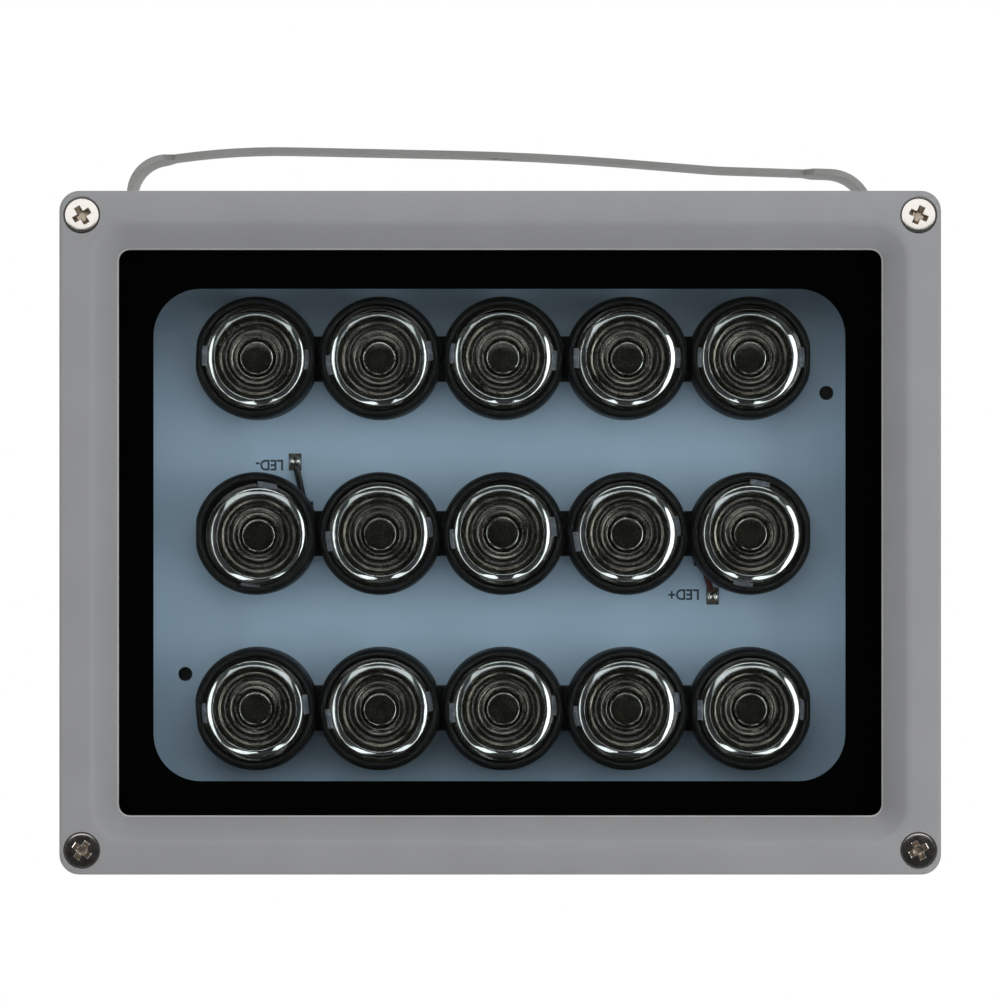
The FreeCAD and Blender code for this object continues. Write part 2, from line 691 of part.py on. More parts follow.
def wire_hole(sign):
    """Where a wire goes through the board, across and up from the middle of the head."""
    return f"({end_led[sign]} + size.{sign}_hole_out)", f"(size.led_rise + size.{sign}_hole_up)"


def wire_joint(sign):
    """Where a wire is soldered: above the left end holder or below the right one, clear of its rim."""
    inner = f"(abs(size.{sign}_joint_out) - size.solder_width / 2)"
    rim = f"sqrt({holder_radius} ^ 2 - {inner} ^ 2)"
    rise = f"({rim} + size.{sign}_joint_clear + size.solder_length / 2)"
    return f"({end_led[sign]} + size.{sign}_joint_out)", f"(size.led_rise {joint_side[sign]} {rise})"


def draw_wire_slots(sketch):
    for sign in ("minus", "plus"):
        draw_box(sketch, "size.wire_slot", "size.wire_slot", *wire_hole(sign))


def make_rear_cover():
    seal = new_body("rear_cover_seal")
    wide, tall = f"({rim_wide} - 2 * size.cover_clear)", f"({rim_tall} - 2 * size.cover_clear)"
    ring = front_sketch(seal, "seal_outline", seal_y)
    draw_box(ring, wide, tall)
    draw_box(ring, well_wide, well_tall)
    pad_back(seal, "seal_ring", ring, "size.cover_seal")
    body = new_body("rear_cover")
    plate = front_sketch(body, "cover_outline", cover_y)
    draw_box(plate, wide, tall)
    pad_back(body, "cover_plate", plate, "size.cover_thick")
    posts = front_sketch(body, "cover_post_outlines", cover_y)
    for side in ("-", ""):
        reach = f"{side}({well_wide} / 2 - size.cover_post_inset)"
        draw_box(posts, "size.cover_post", "size.cover_post", reach)
    add_feature(body, "Pad", "cover_posts", posts, f"{cover_y} - {driver_back_y} - size.post_clear")


def make_led_board():
    body = new_body("led_board")
    plate = front_sketch(body, "board_outline", board_y)
    draw_box(plate, "size.board_width", "size.board_height", "size.board_shift")
    draw_circle(plate, "size.spare_hole", spare_right, "size.spare_right_rise")
    draw_circle(plate, "size.spare_hole", spare_left, "-size.spare_left_rise")
    draw_wire_slots(plate)
    pad_back(body, "board_sheet", plate, "size.board_thick")
    pad = new_body("thermal_pad")
    sheet_outline = front_sketch(pad, "pad_outline", pad_y)
    draw_box(sheet_outline, "size.board_width", "size.board_height", "size.board_shift")
    draw_wire_slots(sheet_outline)
    pad_back(pad, "pad_sheet", sheet_outline, "size.pad_thick")


def at_first_led(body):
    """Puts the body's origin on the board at the lower left LED, where the patterns start."""
    body.setExpression("Placement.Base.x", "size.led_shift - 2 * size.led_pitch")
    body.setExpression("Placement.Base.y", board_y)
    body.setExpression("Placement.Base.z", "size.led_rise - size.pivot_drop - size.row_pitch")


def at_all_leds(body, name, features, sketch):
    grid(body, name, features, sketch, "4 * size.led_pitch", "2 * size.row_pitch", 5, 3)


def draw_flatted_circle(sketch, radius, flat):
    """A circle about the origin with a flat at its left and one at its right."""
    r, reach = number(radius), number(flat)
    lean = math.acos(reach / r)
    circle = Part.Circle(Vector(), Vector(0, 0, 1), r)
    top = sketch.addGeometry(Part.ArcOfCircle(circle, lean, math.pi - lean), False)
    low = sketch.addGeometry(Part.ArcOfCircle(circle, math.pi + lean, 2 * math.pi - lean), False)
    ends = [(top, 2, low, 1), (low, 2, top, 1)]
    for arc in (top, low):
        sketch.addConstraint(Sketcher.Constraint("Coincident", arc, 3, -1, 1))
    sketch.addConstraint(Sketcher.Constraint("Equal", top, low))
    hold(sketch, "Radius", (top,), radius)
    for first, first_end, second, second_end in ends:
        points = sketch.getPoint(first, first_end), sketch.getPoint(second, second_end)
        line = sketch.addGeometry(Part.LineSegment(*points), False)
        sketch.addConstraint(Sketcher.Constraint("Coincident", line, 1, first, first_end))
        sketch.addConstraint(Sketcher.Constraint("Coincident", line, 2, second, second_end))
        sketch.addConstraint(Sketcher.Constraint("Vertical", line))
    hold(sketch, "DistanceX", (-1, 1, top, 1), flat)
    hold(sketch, "DistanceX", (top, 2, -1, 1), flat)


def make_leds():
    emitters = new_body("led_emitters")
    at_first_led(emitters)
    base = front_sketch(emitters, "led_outline", "0")
    draw_box(base, "size.led_size", "size.led_size")
    package = add_feature(emitters, "Pad", "led_package", base, "size.led_tall")
    at_all_leds(emitters, "all_emitters", [package], base)
    holders = new_body("lens_holders")
    at_first_led(holders)
    cup = front_sketch(holders, "holder_outline", "0")
    draw_flatted_circle(cup, holder_radius, holder_flat)
    draw_box(cup, "size.holder_well", "size.holder_well")
    holder = add_feature(holders, "Pad", "holder", cup, "size.holder_tall")
    at_all_leds(holders, "all_holders", [holder], cup)
    reliefs = front_sketch(holders, "wire_relief_outlines", "0")
    for sign in ("minus", "plus"):
        hole_x, hole_z = wire_hole(sign)
        joint_z = wire_joint(sign)[1]
        length = f"(abs({joint_z} - {hole_z}) + 2 * size.relief_beyond)"
        draw_box(reliefs, "size.relief_width", length, f"({hole_x} - {end_led['minus']})",
                 f"(({joint_z} + {hole_z}) / 2 - size.led_rise + size.row_pitch)")
    pocket_front(holders, "wire_reliefs", reliefs, "size.relief_tall")
    lenses = new_body("lenses")
    at_first_led(lenses)
    disc = front_sketch(lenses, "lens_circle", "-size.holder_tall")
    draw_circle(disc, f"{holder_radius} - size.lens_inset")
    lens = add_feature(lenses, "Pad", "lens_disc", disc, "size.lens_thick")
    at_all_leds(lenses, "all_lenses", [lens], disc)


def make_wire(name, sign):
    """A wire that runs along the board from its solder joint and turns back through the board."""
    body = new_body(name)
    hole_x, hole_z = wire_hole(sign)
    joint_x, joint_z = wire_joint(sign)
    run_x, run_z = f"({joint_x} - {hole_x})", f"({joint_z} - {hole_z})"
    body.setExpression("Placement.Base.x", hole_x)
    body.setExpression("Placement.Base.z", f"{hole_z} - size.pivot_drop")
    body.Placement.Rotation = Rotation(Vector(0, 1, 0), 10)
    body.setExpression("Placement.Rotation.Angle", f"atan2({run_x}; {run_z})")
    length = f"(sqrt({run_x} ^ 2 + {run_z} ^ 2) - size.wire_start)"
    lie = f"({board_y} - size.wire_flats / 2 - size.wire_clear)"
    path = new_sketch(body, "YZ_Plane", f"{name}_path")
    y, z, end = number(lie), number(length), number(driver_y)
    path.addGeometry(Part.LineSegment(Vector(y, z, 0), Vector(y, 0, 0)), False)
    path.addGeometry(Part.LineSegment(Vector(y, 0, 0), Vector(end, 0, 0)), False)
    path.addConstraint(Sketcher.Constraint("Coincident", 0, 2, 1, 1))
    path.addConstraint(Sketcher.Constraint("Vertical", 0))
    hold_point(path, 0, 1, lie, length)
    hold_point(path, 1, 2, driver_y, "0")
    path.addConstraint(Sketcher.Constraint("Horizontal", 1))
    section = new_sketch(body, "XY_Plane", f"{name}_section", length)
    draw_hexagon(section, "size.wire_flats", x="0", y=lie)
    pipe = body.newObject("PartDesign::AdditivePipe", f"{name}_run")
    pipe.Profile = (section, [""])
    pipe.Spine = (path, ["Edge1", "Edge2"])
    pipe.Transition = "Right corner"


def make_solder():
    body = new_body("solder_joints")
    for sign in ("minus", "plus"):
        foot = front_sketch(body, f"{sign}_solder_outline", board_y)
        draw_box(foot, "size.solder_width", "size.solder_length", *wire_joint(sign))
        add_feature(body, "Pad", f"{sign}_solder", foot, "size.solder_rise")


def make_driver():
    board = new_body("driver_board")
    plate = front_sketch(board, "driver_outline", driver_y)
    draw_box(plate, f"{well_wide} - 2 * size.driver_clear", f"{well_tall} - 2 * size.driver_clear")
    pad_back(board, "driver_sheet", plate, "size.driver_thick")
    for name in ("transformer", "capacitor", "terminal"):
        part = new_body(f"driver_{name}")
        block = front_sketch(part, f"{name}_outline", driver_back_y)
        draw_box(block, f"size.{name}_width", f"size.{name}_height", f"size.{name}_x", f"size.{name}_z")
        pad_back(part, f"{name}_block", block, f"size.{name}_tall")


def make_gland():
    body = new_body("gland_body")
    hexagon = new_sketch(body, "XY_Plane", "gland_hex_outline", box_under)
    draw_hexagon(hexagon, "size.gland_flats", y=gland_y)
    draw_circle(hexagon, "size.gland_bore", y=gland_y)
    add_feature(body, "Pad", "gland_hex", hexagon, "size.gland_hex_thick", reverse=True)
    neck = new_sketch(body, "XY_Plane", "gland_thread_circle", box_under)
    draw_circle(neck, "size.gland_thread", y=gland_y)
    draw_circle(neck, "size.gland_bore", y=gland_y)
    add_feature(body, "Pad", "gland_thread", neck, "size.box_wall + size.gland_inside")
    cap = new_body("gland_cap")
    nut = new_sketch(cap, "XY_Plane", "gland_cap_outline", f"{box_under} - size.gland_hex_thick")
    draw_hexagon(nut, "size.cap_flats", y=gland_y)
    draw_circle(nut, "size.gland_bore", y=gland_y)
    add_feature(cap, "Pad", "gland_cap_nut", nut, "size.cap_length", reverse=True)


make_bracket()
make_pivot_bolts()
make_front_frame()
make_frame_screws()
make_glass()
make_rear_housing()
make_rear_cover()
make_led_board()
make_leds()
make_wire("negative_wire", "minus")
make_wire("positive_wire", "plus")
make_solder()
make_driver()
make_gland()

doc.recompute()
for item in doc.Objects:
    if {"Invalid", "Error"} & set(item.State):
        raise RuntimeError(f"{item.Label} could not be built: {item.State}")
for cut in cuts:
    base = cut.BaseFeature.Shape
    if cut.Shape.Volume > base.Volume - 0.01:
        raise RuntimeError(f"{cut.Label} removes nothing")
for piece in pieces:
    if piece.Shape.isNull() or not piece.Shape.isValid():
        raise RuntimeError(f"{piece.Label} has no valid shape")
os.makedirs("parts", exist_ok=True)
for piece in pieces:
    piece.Shape.exportStep(f"parts/{piece.Label}.step")
    box = piece.Shape.BoundBox
    print(f"{piece.Label}: {len(piece.Shape.Solids)} solids, {piece.Shape.Volume:.1f} mm3, "
          f"x {box.XMin:.2f} {box.XMax:.2f} y {box.YMin:.2f} {box.YMax:.2f} z {box.ZMin:.2f} {box.ZMax:.2f}")
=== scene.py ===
import bpy
import math
from mathutils import Matrix, Vector


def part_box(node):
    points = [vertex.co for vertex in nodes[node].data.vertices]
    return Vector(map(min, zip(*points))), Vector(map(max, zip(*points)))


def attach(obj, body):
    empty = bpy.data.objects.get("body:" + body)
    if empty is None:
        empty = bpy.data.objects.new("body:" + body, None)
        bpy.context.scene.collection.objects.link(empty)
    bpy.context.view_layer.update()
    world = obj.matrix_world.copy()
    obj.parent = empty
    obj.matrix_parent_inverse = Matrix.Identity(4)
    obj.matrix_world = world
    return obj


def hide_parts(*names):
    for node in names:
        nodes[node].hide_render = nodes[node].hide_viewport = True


# Infrared illuminator. The lamp faces -Y and the bracket's fixing hole is the origin. Blender's lengths
# are metres; the dictionaries of shapes are in millimetres, and their angles in degrees. Small pieces are
# modelled in plan, with their front up, and then stood up to face -Y.

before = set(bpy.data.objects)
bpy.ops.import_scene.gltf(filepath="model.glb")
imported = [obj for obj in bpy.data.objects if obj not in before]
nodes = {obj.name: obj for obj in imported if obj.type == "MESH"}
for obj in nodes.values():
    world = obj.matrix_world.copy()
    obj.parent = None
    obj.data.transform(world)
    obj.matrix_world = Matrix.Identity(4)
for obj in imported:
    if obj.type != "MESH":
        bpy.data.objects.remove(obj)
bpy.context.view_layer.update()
mm = 0.001
slack = 0.01  # millimetres, for finding edges by their place
headBody = "lamp_head"
bracketBody = "mount_bracket"
frameLow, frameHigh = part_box("front_frame")
middle = (frameLow + frameHigh) / 2
frontY = frameLow.y
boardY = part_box("led_board")[0].y
print("frame loaded")


def deselectAll():
    if bpy.context.object and bpy.context.object.mode != "OBJECT":
        bpy.ops.object.mode_set(mode="OBJECT")
    bpy.ops.object.select_all(action="DESELECT")


def pickOnly(piece):
    deselectAll()
    piece.select_set(True)
    bpy.context.view_layer.objects.active = piece


def startEdit(kind):
    bpy.ops.object.mode_set(mode="EDIT")
    bpy.ops.mesh.select_mode(type=kind)
    bpy.ops.mesh.select_all(action="DESELECT")


def endEdit():
    bpy.ops.object.mode_set(mode="OBJECT")


def applyModifiers(piece):
    pickOnly(piece)
    for modifier in list(piece.modifiers):
        bpy.ops.object.modifier_apply(modifier=modifier.name)


def smoothPiece(piece, degrees):
    pickOnly(piece)
    bpy.ops.object.shade_smooth_by_angle(angle=math.radians(degrees))


# Keeps large flat faces flat in shading beside their softened edges.
def evenShading(piece, degrees):
    smoothPiece(piece, degrees)
    even = piece.modifiers.new("even shading", "WEIGHTED_NORMAL")
    even.keep_sharp = True
    applyModifiers(piece)


def giveMaterial(piece, material):
    piece.data.materials.clear()
    piece.data.materials.append(material)


def addBevel(piece, width, segments=2, degrees=30):
    bevel = piece.modifiers.new("soft edges", "BEVEL")
    bevel.width = width
    bevel.segments = segments
    bevel.limit_method = "ANGLE"
    bevel.angle_limit = math.radians(degrees)
    bevel.use_clamp_overlap = False


def addBoolean(piece, cutter):
    cut = piece.modifiers.new("cut", "BOOLEAN")
    cut.operation = "DIFFERENCE"
    cut.solver = "EXACT"
    cut.object = cutter


def removePiece(piece):
    bpy.data.objects.remove(piece, do_unlink=True)


# Turns a piece up from its foot: each ring is (radius, height).
def turnRings(name, rings, sides):
    deselectAll()
    radius, height = rings[0]
    bpy.ops.mesh.primitive_circle_add(vertices=sides, radius=radius * mm, location=(0, 0, height * mm))
    piece = bpy.context.object
    piece.name = name
    startEdit("EDGE")
    bpy.ops.mesh.select_all(action="SELECT")
    for (oldRadius, oldHeight), (radius, height) in zip(rings, rings[1:]):
        rise = (0, 0, (height - oldHeight) * mm)
        bpy.ops.mesh.extrude_region_move(TRANSFORM_OT_translate={"value": rise})
        spread = radius / oldRadius
        bpy.ops.transform.resize(value=(spread, spread, 1), center_override=(0, 0, 0))
    bpy.ops.mesh.edge_face_add()
    bpy.ops.mesh.select_all(action="DESELECT")
    bpy.ops.mesh.select_non_manifold(extend=False)
    bpy.ops.mesh.edge_face_add()
    bpy.ops.mesh.select_all(action="SELECT")
    bpy.ops.mesh.normals_make_consistent(inside=False)
    endEdit()
    bpy.ops.object.transform_apply(location=True, rotation=True, scale=True)
    return piece


def addBlock(name, low, high):
    deselectAll()
    spot = [(a + b) / 2 for a, b in zip(low, high)]
    bpy.ops.mesh.primitive_cube_add(size=1, location=spot)
    block = bpy.context.object
    block.name = name
    block.scale = [b - a for a, b in zip(low, high)]
    bpy.ops.object.transform_apply(location=True, rotation=True, scale=True)
    return block


def addSoftBlock(name, low, high, softWidth, material):
    block = addBlock(name, low, high)
    giveMaterial(block, material)
    addBevel(block, softWidth * mm)
    applyModifiers(block)
    return block


# Copies a piece that was modelled in plan, turns and leans the copy, and stands it up at a spot.
def standCopy(template, name, spot, turn=0.0, lean=(0.0, 0.0)):
    piece = template.copy()
    piece.data = template.data.copy()
    piece.name = name
    bpy.context.scene.collection.objects.link(piece)
    upright = Matrix.Rotation(math.radians(90), 4, "X")
    leaning = (Matrix.Rotation(math.radians(lean[0]), 4, "X")
               @ Matrix.Rotation(math.radians(lean[1]), 4, "Y"))
    spinning = Matrix.Rotation(math.radians(turn), 4, "Z")
    piece.matrix_world = Matrix.Translation(spot) @ upright @ leaning @ spinning
    pickOnly(piece)
    bpy.ops.object.transform_apply(location=True, rotation=True, scale=True)
    return piece


def joinPieces(pieces, name):
    deselectAll()
    for piece in pieces:
        piece.select_set(True)
    bpy.context.view_layer.objects.active = pieces[0]
    bpy.ops.object.join()
    pieces[0].name = name
    return pieces[0]


cadCopy = {"mergeGap": 0.002, "sharp": 30, "bevelSteps": 2, "smooth": 35}


# A CAD node's shape with its loose triangles merged and its sharp edges softened, apart from those
# that lie in front of the plane at keepFront, which is in metres.
def softCopy(nodeName, name, width, material, keepFront=None, smoothDegrees=cadCopy["smooth"]):
    piece = bpy.data.objects.new(name, nodes[nodeName].data.copy())
    bpy.context.scene.collection.objects.link(piece)
    pickOnly(piece)
    startEdit("EDGE")
    bpy.ops.mesh.select_all(action="SELECT")
    bpy.ops.mesh.remove_doubles(threshold=cadCopy["mergeGap"] * mm)
    bpy.ops.mesh.select_all(action="DESELECT")
    bpy.ops.mesh.edges_select_sharp(sharpness=math.radians(cadCopy["sharp"]))
    endEdit()
    if keepFront is not None:
        points = [vertex.co.y for vertex in piece.data.vertices]
        for edge in piece.data.edges:
            if all(points[index] < keepFront for index in edge.vertices):
                edge.select = False
    if width:
        bpy.ops.object.mode_set(mode="EDIT")
        bpy.ops.mesh.bevel(offset=width * mm, segments=cadCopy["bevelSteps"], affect="EDGES")
        endEdit()
    giveMaterial(piece, material)
    evenShading(piece, smoothDegrees)
    return piece


def ridePiece(piece, body, slotName, *replaced):
    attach(piece, body)
    if replaced:
        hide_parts(*replaced)


# Materials. A finish is one dictionary: its colour is linear, "cloud" and "grain" are the sizes of its
# large and small pattern in millimetres, and "shift" is how far the cloud moves the colour.
noiseSpan = (0.3, 0.7)  # the part of a noise's range that carries a change
cloudDetail, grainDetail = 3.0, 2.0
grainDepth = 0.3  # a grain's depth, as a share of its size
usualFinish = {"metallic": 0.0, "specular": 0.5, "spread": 0.05, "stretch": (1, 1, 1)}


def startMaterial(name, color, roughness):
    material = bpy.data.materials.new(name)
    material.use_nodes = True
    shader = material.node_tree.nodes["Principled BSDF"]
    shader.inputs["Base Color"].default_value = (*color, 1)
    shader.inputs["Roughness"].default_value = roughness
    return material


def addNoise(material, size, detail, stretch):
    tree = material.node_tree
    place = tree.nodes.new("ShaderNodeTexCoord")
    mapping = tree.nodes.new("ShaderNodeMapping")
    mapping.inputs["Scale"].default_value = stretch
    noise = tree.nodes.new("ShaderNodeTexNoise")
    noise.inputs["Scale"].default_value = 1 / (size * mm)
    noise.inputs["Detail"].default_value = detail
    tree.links.new(place.outputs["Object"], mapping.inputs["Vector"])
    tree.links.new(mapping.outputs["Vector"], noise.inputs["Vector"])
    return noise


def varyColor(material, noise, dark, light):
    tree = material.node_tree
    ramp = tree.nodes.new("ShaderNodeValToRGB")
    low, high = ramp.color_ramp.elements
    low.position, high.position = noiseSpan
    low.color, high.color = (*dark, 1), (*light, 1)
    tree.links.new(noise.outputs[0], ramp.inputs["Fac"])
    tree.links.new(ramp.outputs["Color"], tree.nodes["Principled BSDF"].inputs["Base Color"])


def varyRoughness(material, noise, low, high):
    tree = material.node_tree
    spread = tree.nodes.new("ShaderNodeMapRange")
    spread.inputs["From Min"].default_value, spread.inputs["From Max"].default_value = noiseSpan
    spread.inputs["To Min"].default_value = low
    spread.inputs["To Max"].default_value = high
    tree.links.new(noise.outputs[0], spread.inputs["Value"])
    tree.links.new(spread.outputs["Result"], tree.nodes["Principled BSDF"].inputs["Roughness"])


def addBump(material, noise, strength, depth):
    tree = material.node_tree
    bump = tree.nodes.new("ShaderNodeBump")
    bump.inputs["Strength"].default_value = strength
    bump.inputs["Distance"].default_value = depth * mm
    tree.links.new(noise.outputs[0], bump.inputs["Height"])
    tree.links.new(bump.outputs["Normal"], tree.nodes["Principled BSDF"].inputs["Normal"])


def makeFinish(name, values):
    finish = {**usualFinish, **values}
    color, roughness, shift, spread = [finish[key] for key in ("color", "roughness", "shift", "spread")]
    material = startMaterial(name, color, roughness)
    shader = material.node_tree.nodes["Principled BSDF"]
    shader.inputs["Metallic"].default_value = finish["metallic"]
    shader.inputs["Specular IOR Level"].default_value = finish["specular"]
    cloud = addNoise(material, finish["cloud"], cloudDetail, finish["stretch"])
    varyColor(material, cloud, [c * (1 - shift) for c in color], [c * (1 + shift) for c in color])
    varyRoughness(material, cloud, roughness - spread, roughness + spread)
    grain = addNoise(material, finish["grain"], grainDetail, finish["stretch"])
    addBump(material, grain, finish["bump"], finish["grain"] * grainDepth)
    return material


finishes = {
    "greyCoat": {"color": (0.28, 0.283, 0.29), "roughness": 0.5, "cloud": 14, "shift": 0.03,
                 "grain": 0.45, "bump": 0.12},
    # A lighter grey for the band round the lip: a painted highlight.
    "lipPaintedHighlight": {"color": (0.55, 0.55, 0.55), "roughness": 0.4, "cloud": 5, "shift": 0.1,
                "grain": 0.4, "bump": 0.1},
    "castGrey": {"color": (0.29, 0.29, 0.295), "roughness": 0.55, "cloud": 9, "shift": 0.05,
                 "grain": 0.6, "bump": 0.25},
    "bracketSteel": {"color": (0.32, 0.317, 0.308), "roughness": 0.5, "metallic": 0.3, "cloud": 4,
                     "shift": 0.08, "grain": 0.35, "bump": 0.12, "stretch": (0.15, 1, 1)},
    "boltSteel": {"color": (0.55, 0.55, 0.55), "roughness": 0.32, "metallic": 1.0, "cloud": 2,
                  "shift": 0.08, "grain": 0.3, "bump": 0.08},
    "screwNickel": {"color": (0.64, 0.613, 0.573), "roughness": 0.16, "metallic": 1.0, "cloud": 1.2,
                    "shift": 0.04, "grain": 0.5, "bump": 0.03, "spread": 0.03},
    # A darker metal for the cross recess: painted shade.
    "screwRecessShade": {"color": (0.42, 0.36, 0.29), "roughness": 0.35, "metallic": 1.0, "cloud": 1,
                    "shift": 0.2, "grain": 0.25, "bump": 0.1},
    "borderBlack": {"color": (0.0025, 0.003, 0.003), "roughness": 0.5, "cloud": 20, "shift": 0.1,
                    "grain": 0.5, "bump": 0.005, "specular": 0.0},
    "sealRubber": {"color": (0.02, 0.02, 0.02), "roughness": 0.7, "cloud": 5, "shift": 0.1,
                   "grain": 0.4, "bump": 0.1},
    "boardMask": {"color": (0.43, 0.565, 0.737), "roughness": 0.38, "cloud": 18, "shift": 0.03,
                  "grain": 0.5, "bump": 0.04},
    "boardInk": {"color": (0.03, 0.045, 0.07), "roughness": 0.6, "cloud": 2, "shift": 0.1,
                 "grain": 0.2, "bump": 0.05},
    "padGrey": {"color": (0.35, 0.35, 0.36), "roughness": 0.7, "cloud": 6, "shift": 0.05,
                "grain": 0.4, "bump": 0.1},
    # Near black for the spare bores: painted shade in the holes.
    "borePaintedShade": {"color": (0.012, 0.012, 0.013), "roughness": 0.5, "metallic": 0.3, "cloud": 2,
                 "shift": 0.2, "grain": 0.3, "bump": 0.1},
    "emitterDark": {"color": (0.12, 0.1, 0.06), "roughness": 0.3, "cloud": 2, "shift": 0.2,
                    "grain": 0.4, "bump": 0.05},
    "holderBlack": {"color": (0.003, 0.0031, 0.0033), "roughness": 0.5, "cloud": 6, "shift": 0.15,
                    "grain": 0.3, "bump": 0.1, "spread": 0.08, "specular": 0.2},
    "lensDark": {"color": (0.009, 0.0085, 0.006), "roughness": 0.12, "cloud": 3, "shift": 0.35,
                 "grain": 1.2, "bump": 0.04},
    "lensBand": {"color": (0.4, 0.408, 0.416), "roughness": 0.07, "metallic": 1.0, "cloud": 4,
                 "shift": 0.15, "grain": 1.2, "bump": 0.02, "spread": 0.02},
    "lensRing": {"color": (0.115, 0.107, 0.094), "roughness": 0.2, "metallic": 1.0, "cloud": 5,
                 "shift": 0.75, "grain": 0.8, "bump": 0.08},
    "lensSpark": {"color": (0.32, 0.32, 0.31), "roughness": 0.12, "metallic": 1.0, "cloud": 2.5,
                  "shift": 0.9, "grain": 0.8, "bump": 0.04},
    "lensEdge": {"color": (0.55, 0.55, 0.54), "roughness": 0.12, "metallic": 0.85, "cloud": 4,
                 "shift": 0.2, "grain": 0.8, "bump": 0.04},
    "lensTab": {"color": (0.085, 0.092, 0.11), "roughness": 0.25, "cloud": 2, "shift": 0.3,
                "grain": 0.6, "bump": 0.2},
    "wireBlack": {"color": (0.012, 0.012, 0.012), "roughness": 0.35, "cloud": 3, "shift": 0.1,
                  "grain": 0.3, "bump": 0.05},
    "wireRed": {"color": (0.07, 0.012, 0.012), "roughness": 0.35, "cloud": 3, "shift": 0.15,
                "grain": 0.3, "bump": 0.05},
    "solderTin": {"color": (0.7, 0.69, 0.67), "roughness": 0.22, "metallic": 1.0, "cloud": 0.8,
                  "shift": 0.12, "grain": 0.4, "bump": 0.3},
    "jointFlux": {"color": (0.1, 0.085, 0.07), "roughness": 0.3, "metallic": 0.6, "cloud": 0.8,
                  "shift": 0.6, "grain": 0.4, "bump": 0.3},
    "driverGreen": {"color": (0.03, 0.15, 0.06), "roughness": 0.4, "cloud": 8, "shift": 0.08,
                    "grain": 0.5, "bump": 0.05},
    "driverParts": {"color": (0.45, 0.36, 0.1), "roughness": 0.4, "cloud": 5, "shift": 0.1,
                    "grain": 0.5, "bump": 0.1},
    "terminalGreen": {"color": (0.05, 0.28, 0.1), "roughness": 0.4, "cloud": 5, "shift": 0.08,
                      "grain": 0.5, "bump": 0.05},
    "glandNylon": {"color": (0.018, 0.018, 0.019), "roughness": 0.45, "cloud": 6, "shift": 0.12,
                   "grain": 0.4, "bump": 0.12},
}
made = {name: makeFinish(name, values) for name, values in finishes.items()}
print("materials made")


# The pane is glass, and plainly clear to shadow rays, so that the lamps light what is behind it.
paneGlass = {"color": (0.93, 0.97, 0.96), "roughness": 0.0, "bend": 1.3}


def makePaneGlass():
    material = startMaterial("paneGlass", paneGlass["color"], paneGlass["roughness"])
    tree = material.node_tree
    shader = tree.nodes["Principled BSDF"]
    shader.inputs["Transmission Weight"].default_value = 1.0
    shader.inputs["IOR"].default_value = paneGlass["bend"]
    clear = tree.nodes.new("ShaderNodeBsdfTransparent")
    clear.inputs["Color"].default_value = (*paneGlass["color"], 1)
    rays = tree.nodes.new("ShaderNodeLightPath")
    mix = tree.nodes.new("ShaderNodeMixShader")
    tree.links.new(rays.outputs["Is Shadow Ray"], mix.inputs["Fac"])
    tree.links.new(shader.outputs["BSDF"], mix.inputs[1])
    tree.links.new(clear.outputs["BSDF"], mix.inputs[2])
    tree.links.new(mix.outputs["Shader"], tree.nodes["Material Output"].inputs["Surface"])
    return material


# CAD nodes that are shown as they are, each with its finish.
plainNodes = {
    "glass_border_print": "borderBlack", "glass_gasket": "sealRubber", "rear_cover_seal": "sealRubber",
    "led_board": "boardMask", "thermal_pad": "padGrey", "led_emitters": "emitterDark",
    "driver_board": "driverGreen", "driver_transformer": "driverParts",
    "driver_capacitor": "driverParts", "driver_terminal": "terminalGreen",
}


def dressCadNodes():
    for nodeName, finish in plainNodes.items():
        giveMaterial(nodes[nodeName], made[finish])
    giveMaterial(nodes["glass_pane"], makePaneGlass())


# Widths of the softened edges. The housing's flange stays sharp as deep as "flange", where its thread
# holes come close to its edge, and so does the folded strip of the bracket.
softEdges = {"housing": 0.4, "flange": 4.1, "bracket": 0, "bracketSmooth": 20, "bolt": 0.25, "gland": 0.3,
             "cover": 0.3}


def dressMetalwork():
    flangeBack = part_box("rear_housing")[0].y + softEdges["flange"] * mm
    housing = softCopy("rear_housing", "rearHousing", softEdges["housing"], made["castGrey"], flangeBack)
    ridePiece(housing, headBody, "housing_grey", "rear_housing")
    bracket = softCopy("bracket", "tiltBracket", softEdges["bracket"], made["bracketSteel"],
                       smoothDegrees=softEdges["bracketSmooth"])
    ridePiece(bracket, bracketBody, "bracket_steel", "bracket")
    bolts = softCopy("pivot_bolts", "pivotBolts", softEdges["bolt"], made["boltSteel"])
    ridePiece(bolts, headBody, "bolt_steel", "pivot_bolts")
    for nodeName, name in (("gland_body", "glandBody"), ("gland_cap", "glandCap")):
        gland = softCopy(nodeName, name, softEdges["gland"], made["glandNylon"])
        ridePiece(gland, headBody, "gland_black", nodeName)


dressCadNodes()
dressMetalwork()
print("metalwork dressed")


# Front frame, in plan with its face at 0: a flat land, then a slope down to the lip round the glass.
# Each soft edge is its width and its steps. The lip's lighter band, a painted highlight, runs over the
# depths in its entry, measured from the lip's edge.
frameShape = {
    "outer": (176.0, 136.5), "outerCorner": 4.0, "deep": 10.0, "cornerSteps": 10,
    "crest": (163.0, 123.5), "crestCorner": 7.3, "slopeWide": 5.1, "slopeDeep": 4.4, "lipDeep": 1.0,
    "rebate": (160.8, 121.3), "softOuter": (0.7, 3), "softCrest": (1.0, 4), "softLip": (0.3, 2),
    "screws": (167.0, 126.8), "sinkTop": 3.72, "sinkWall": 0.7, "sinkDeep": 2.3, "sinkFoot": 2.1,
    "sinkOver": 0.5, "sinkSides": 44, "highlightBand": (-0.35, 0.45), "smooth": 40,
}


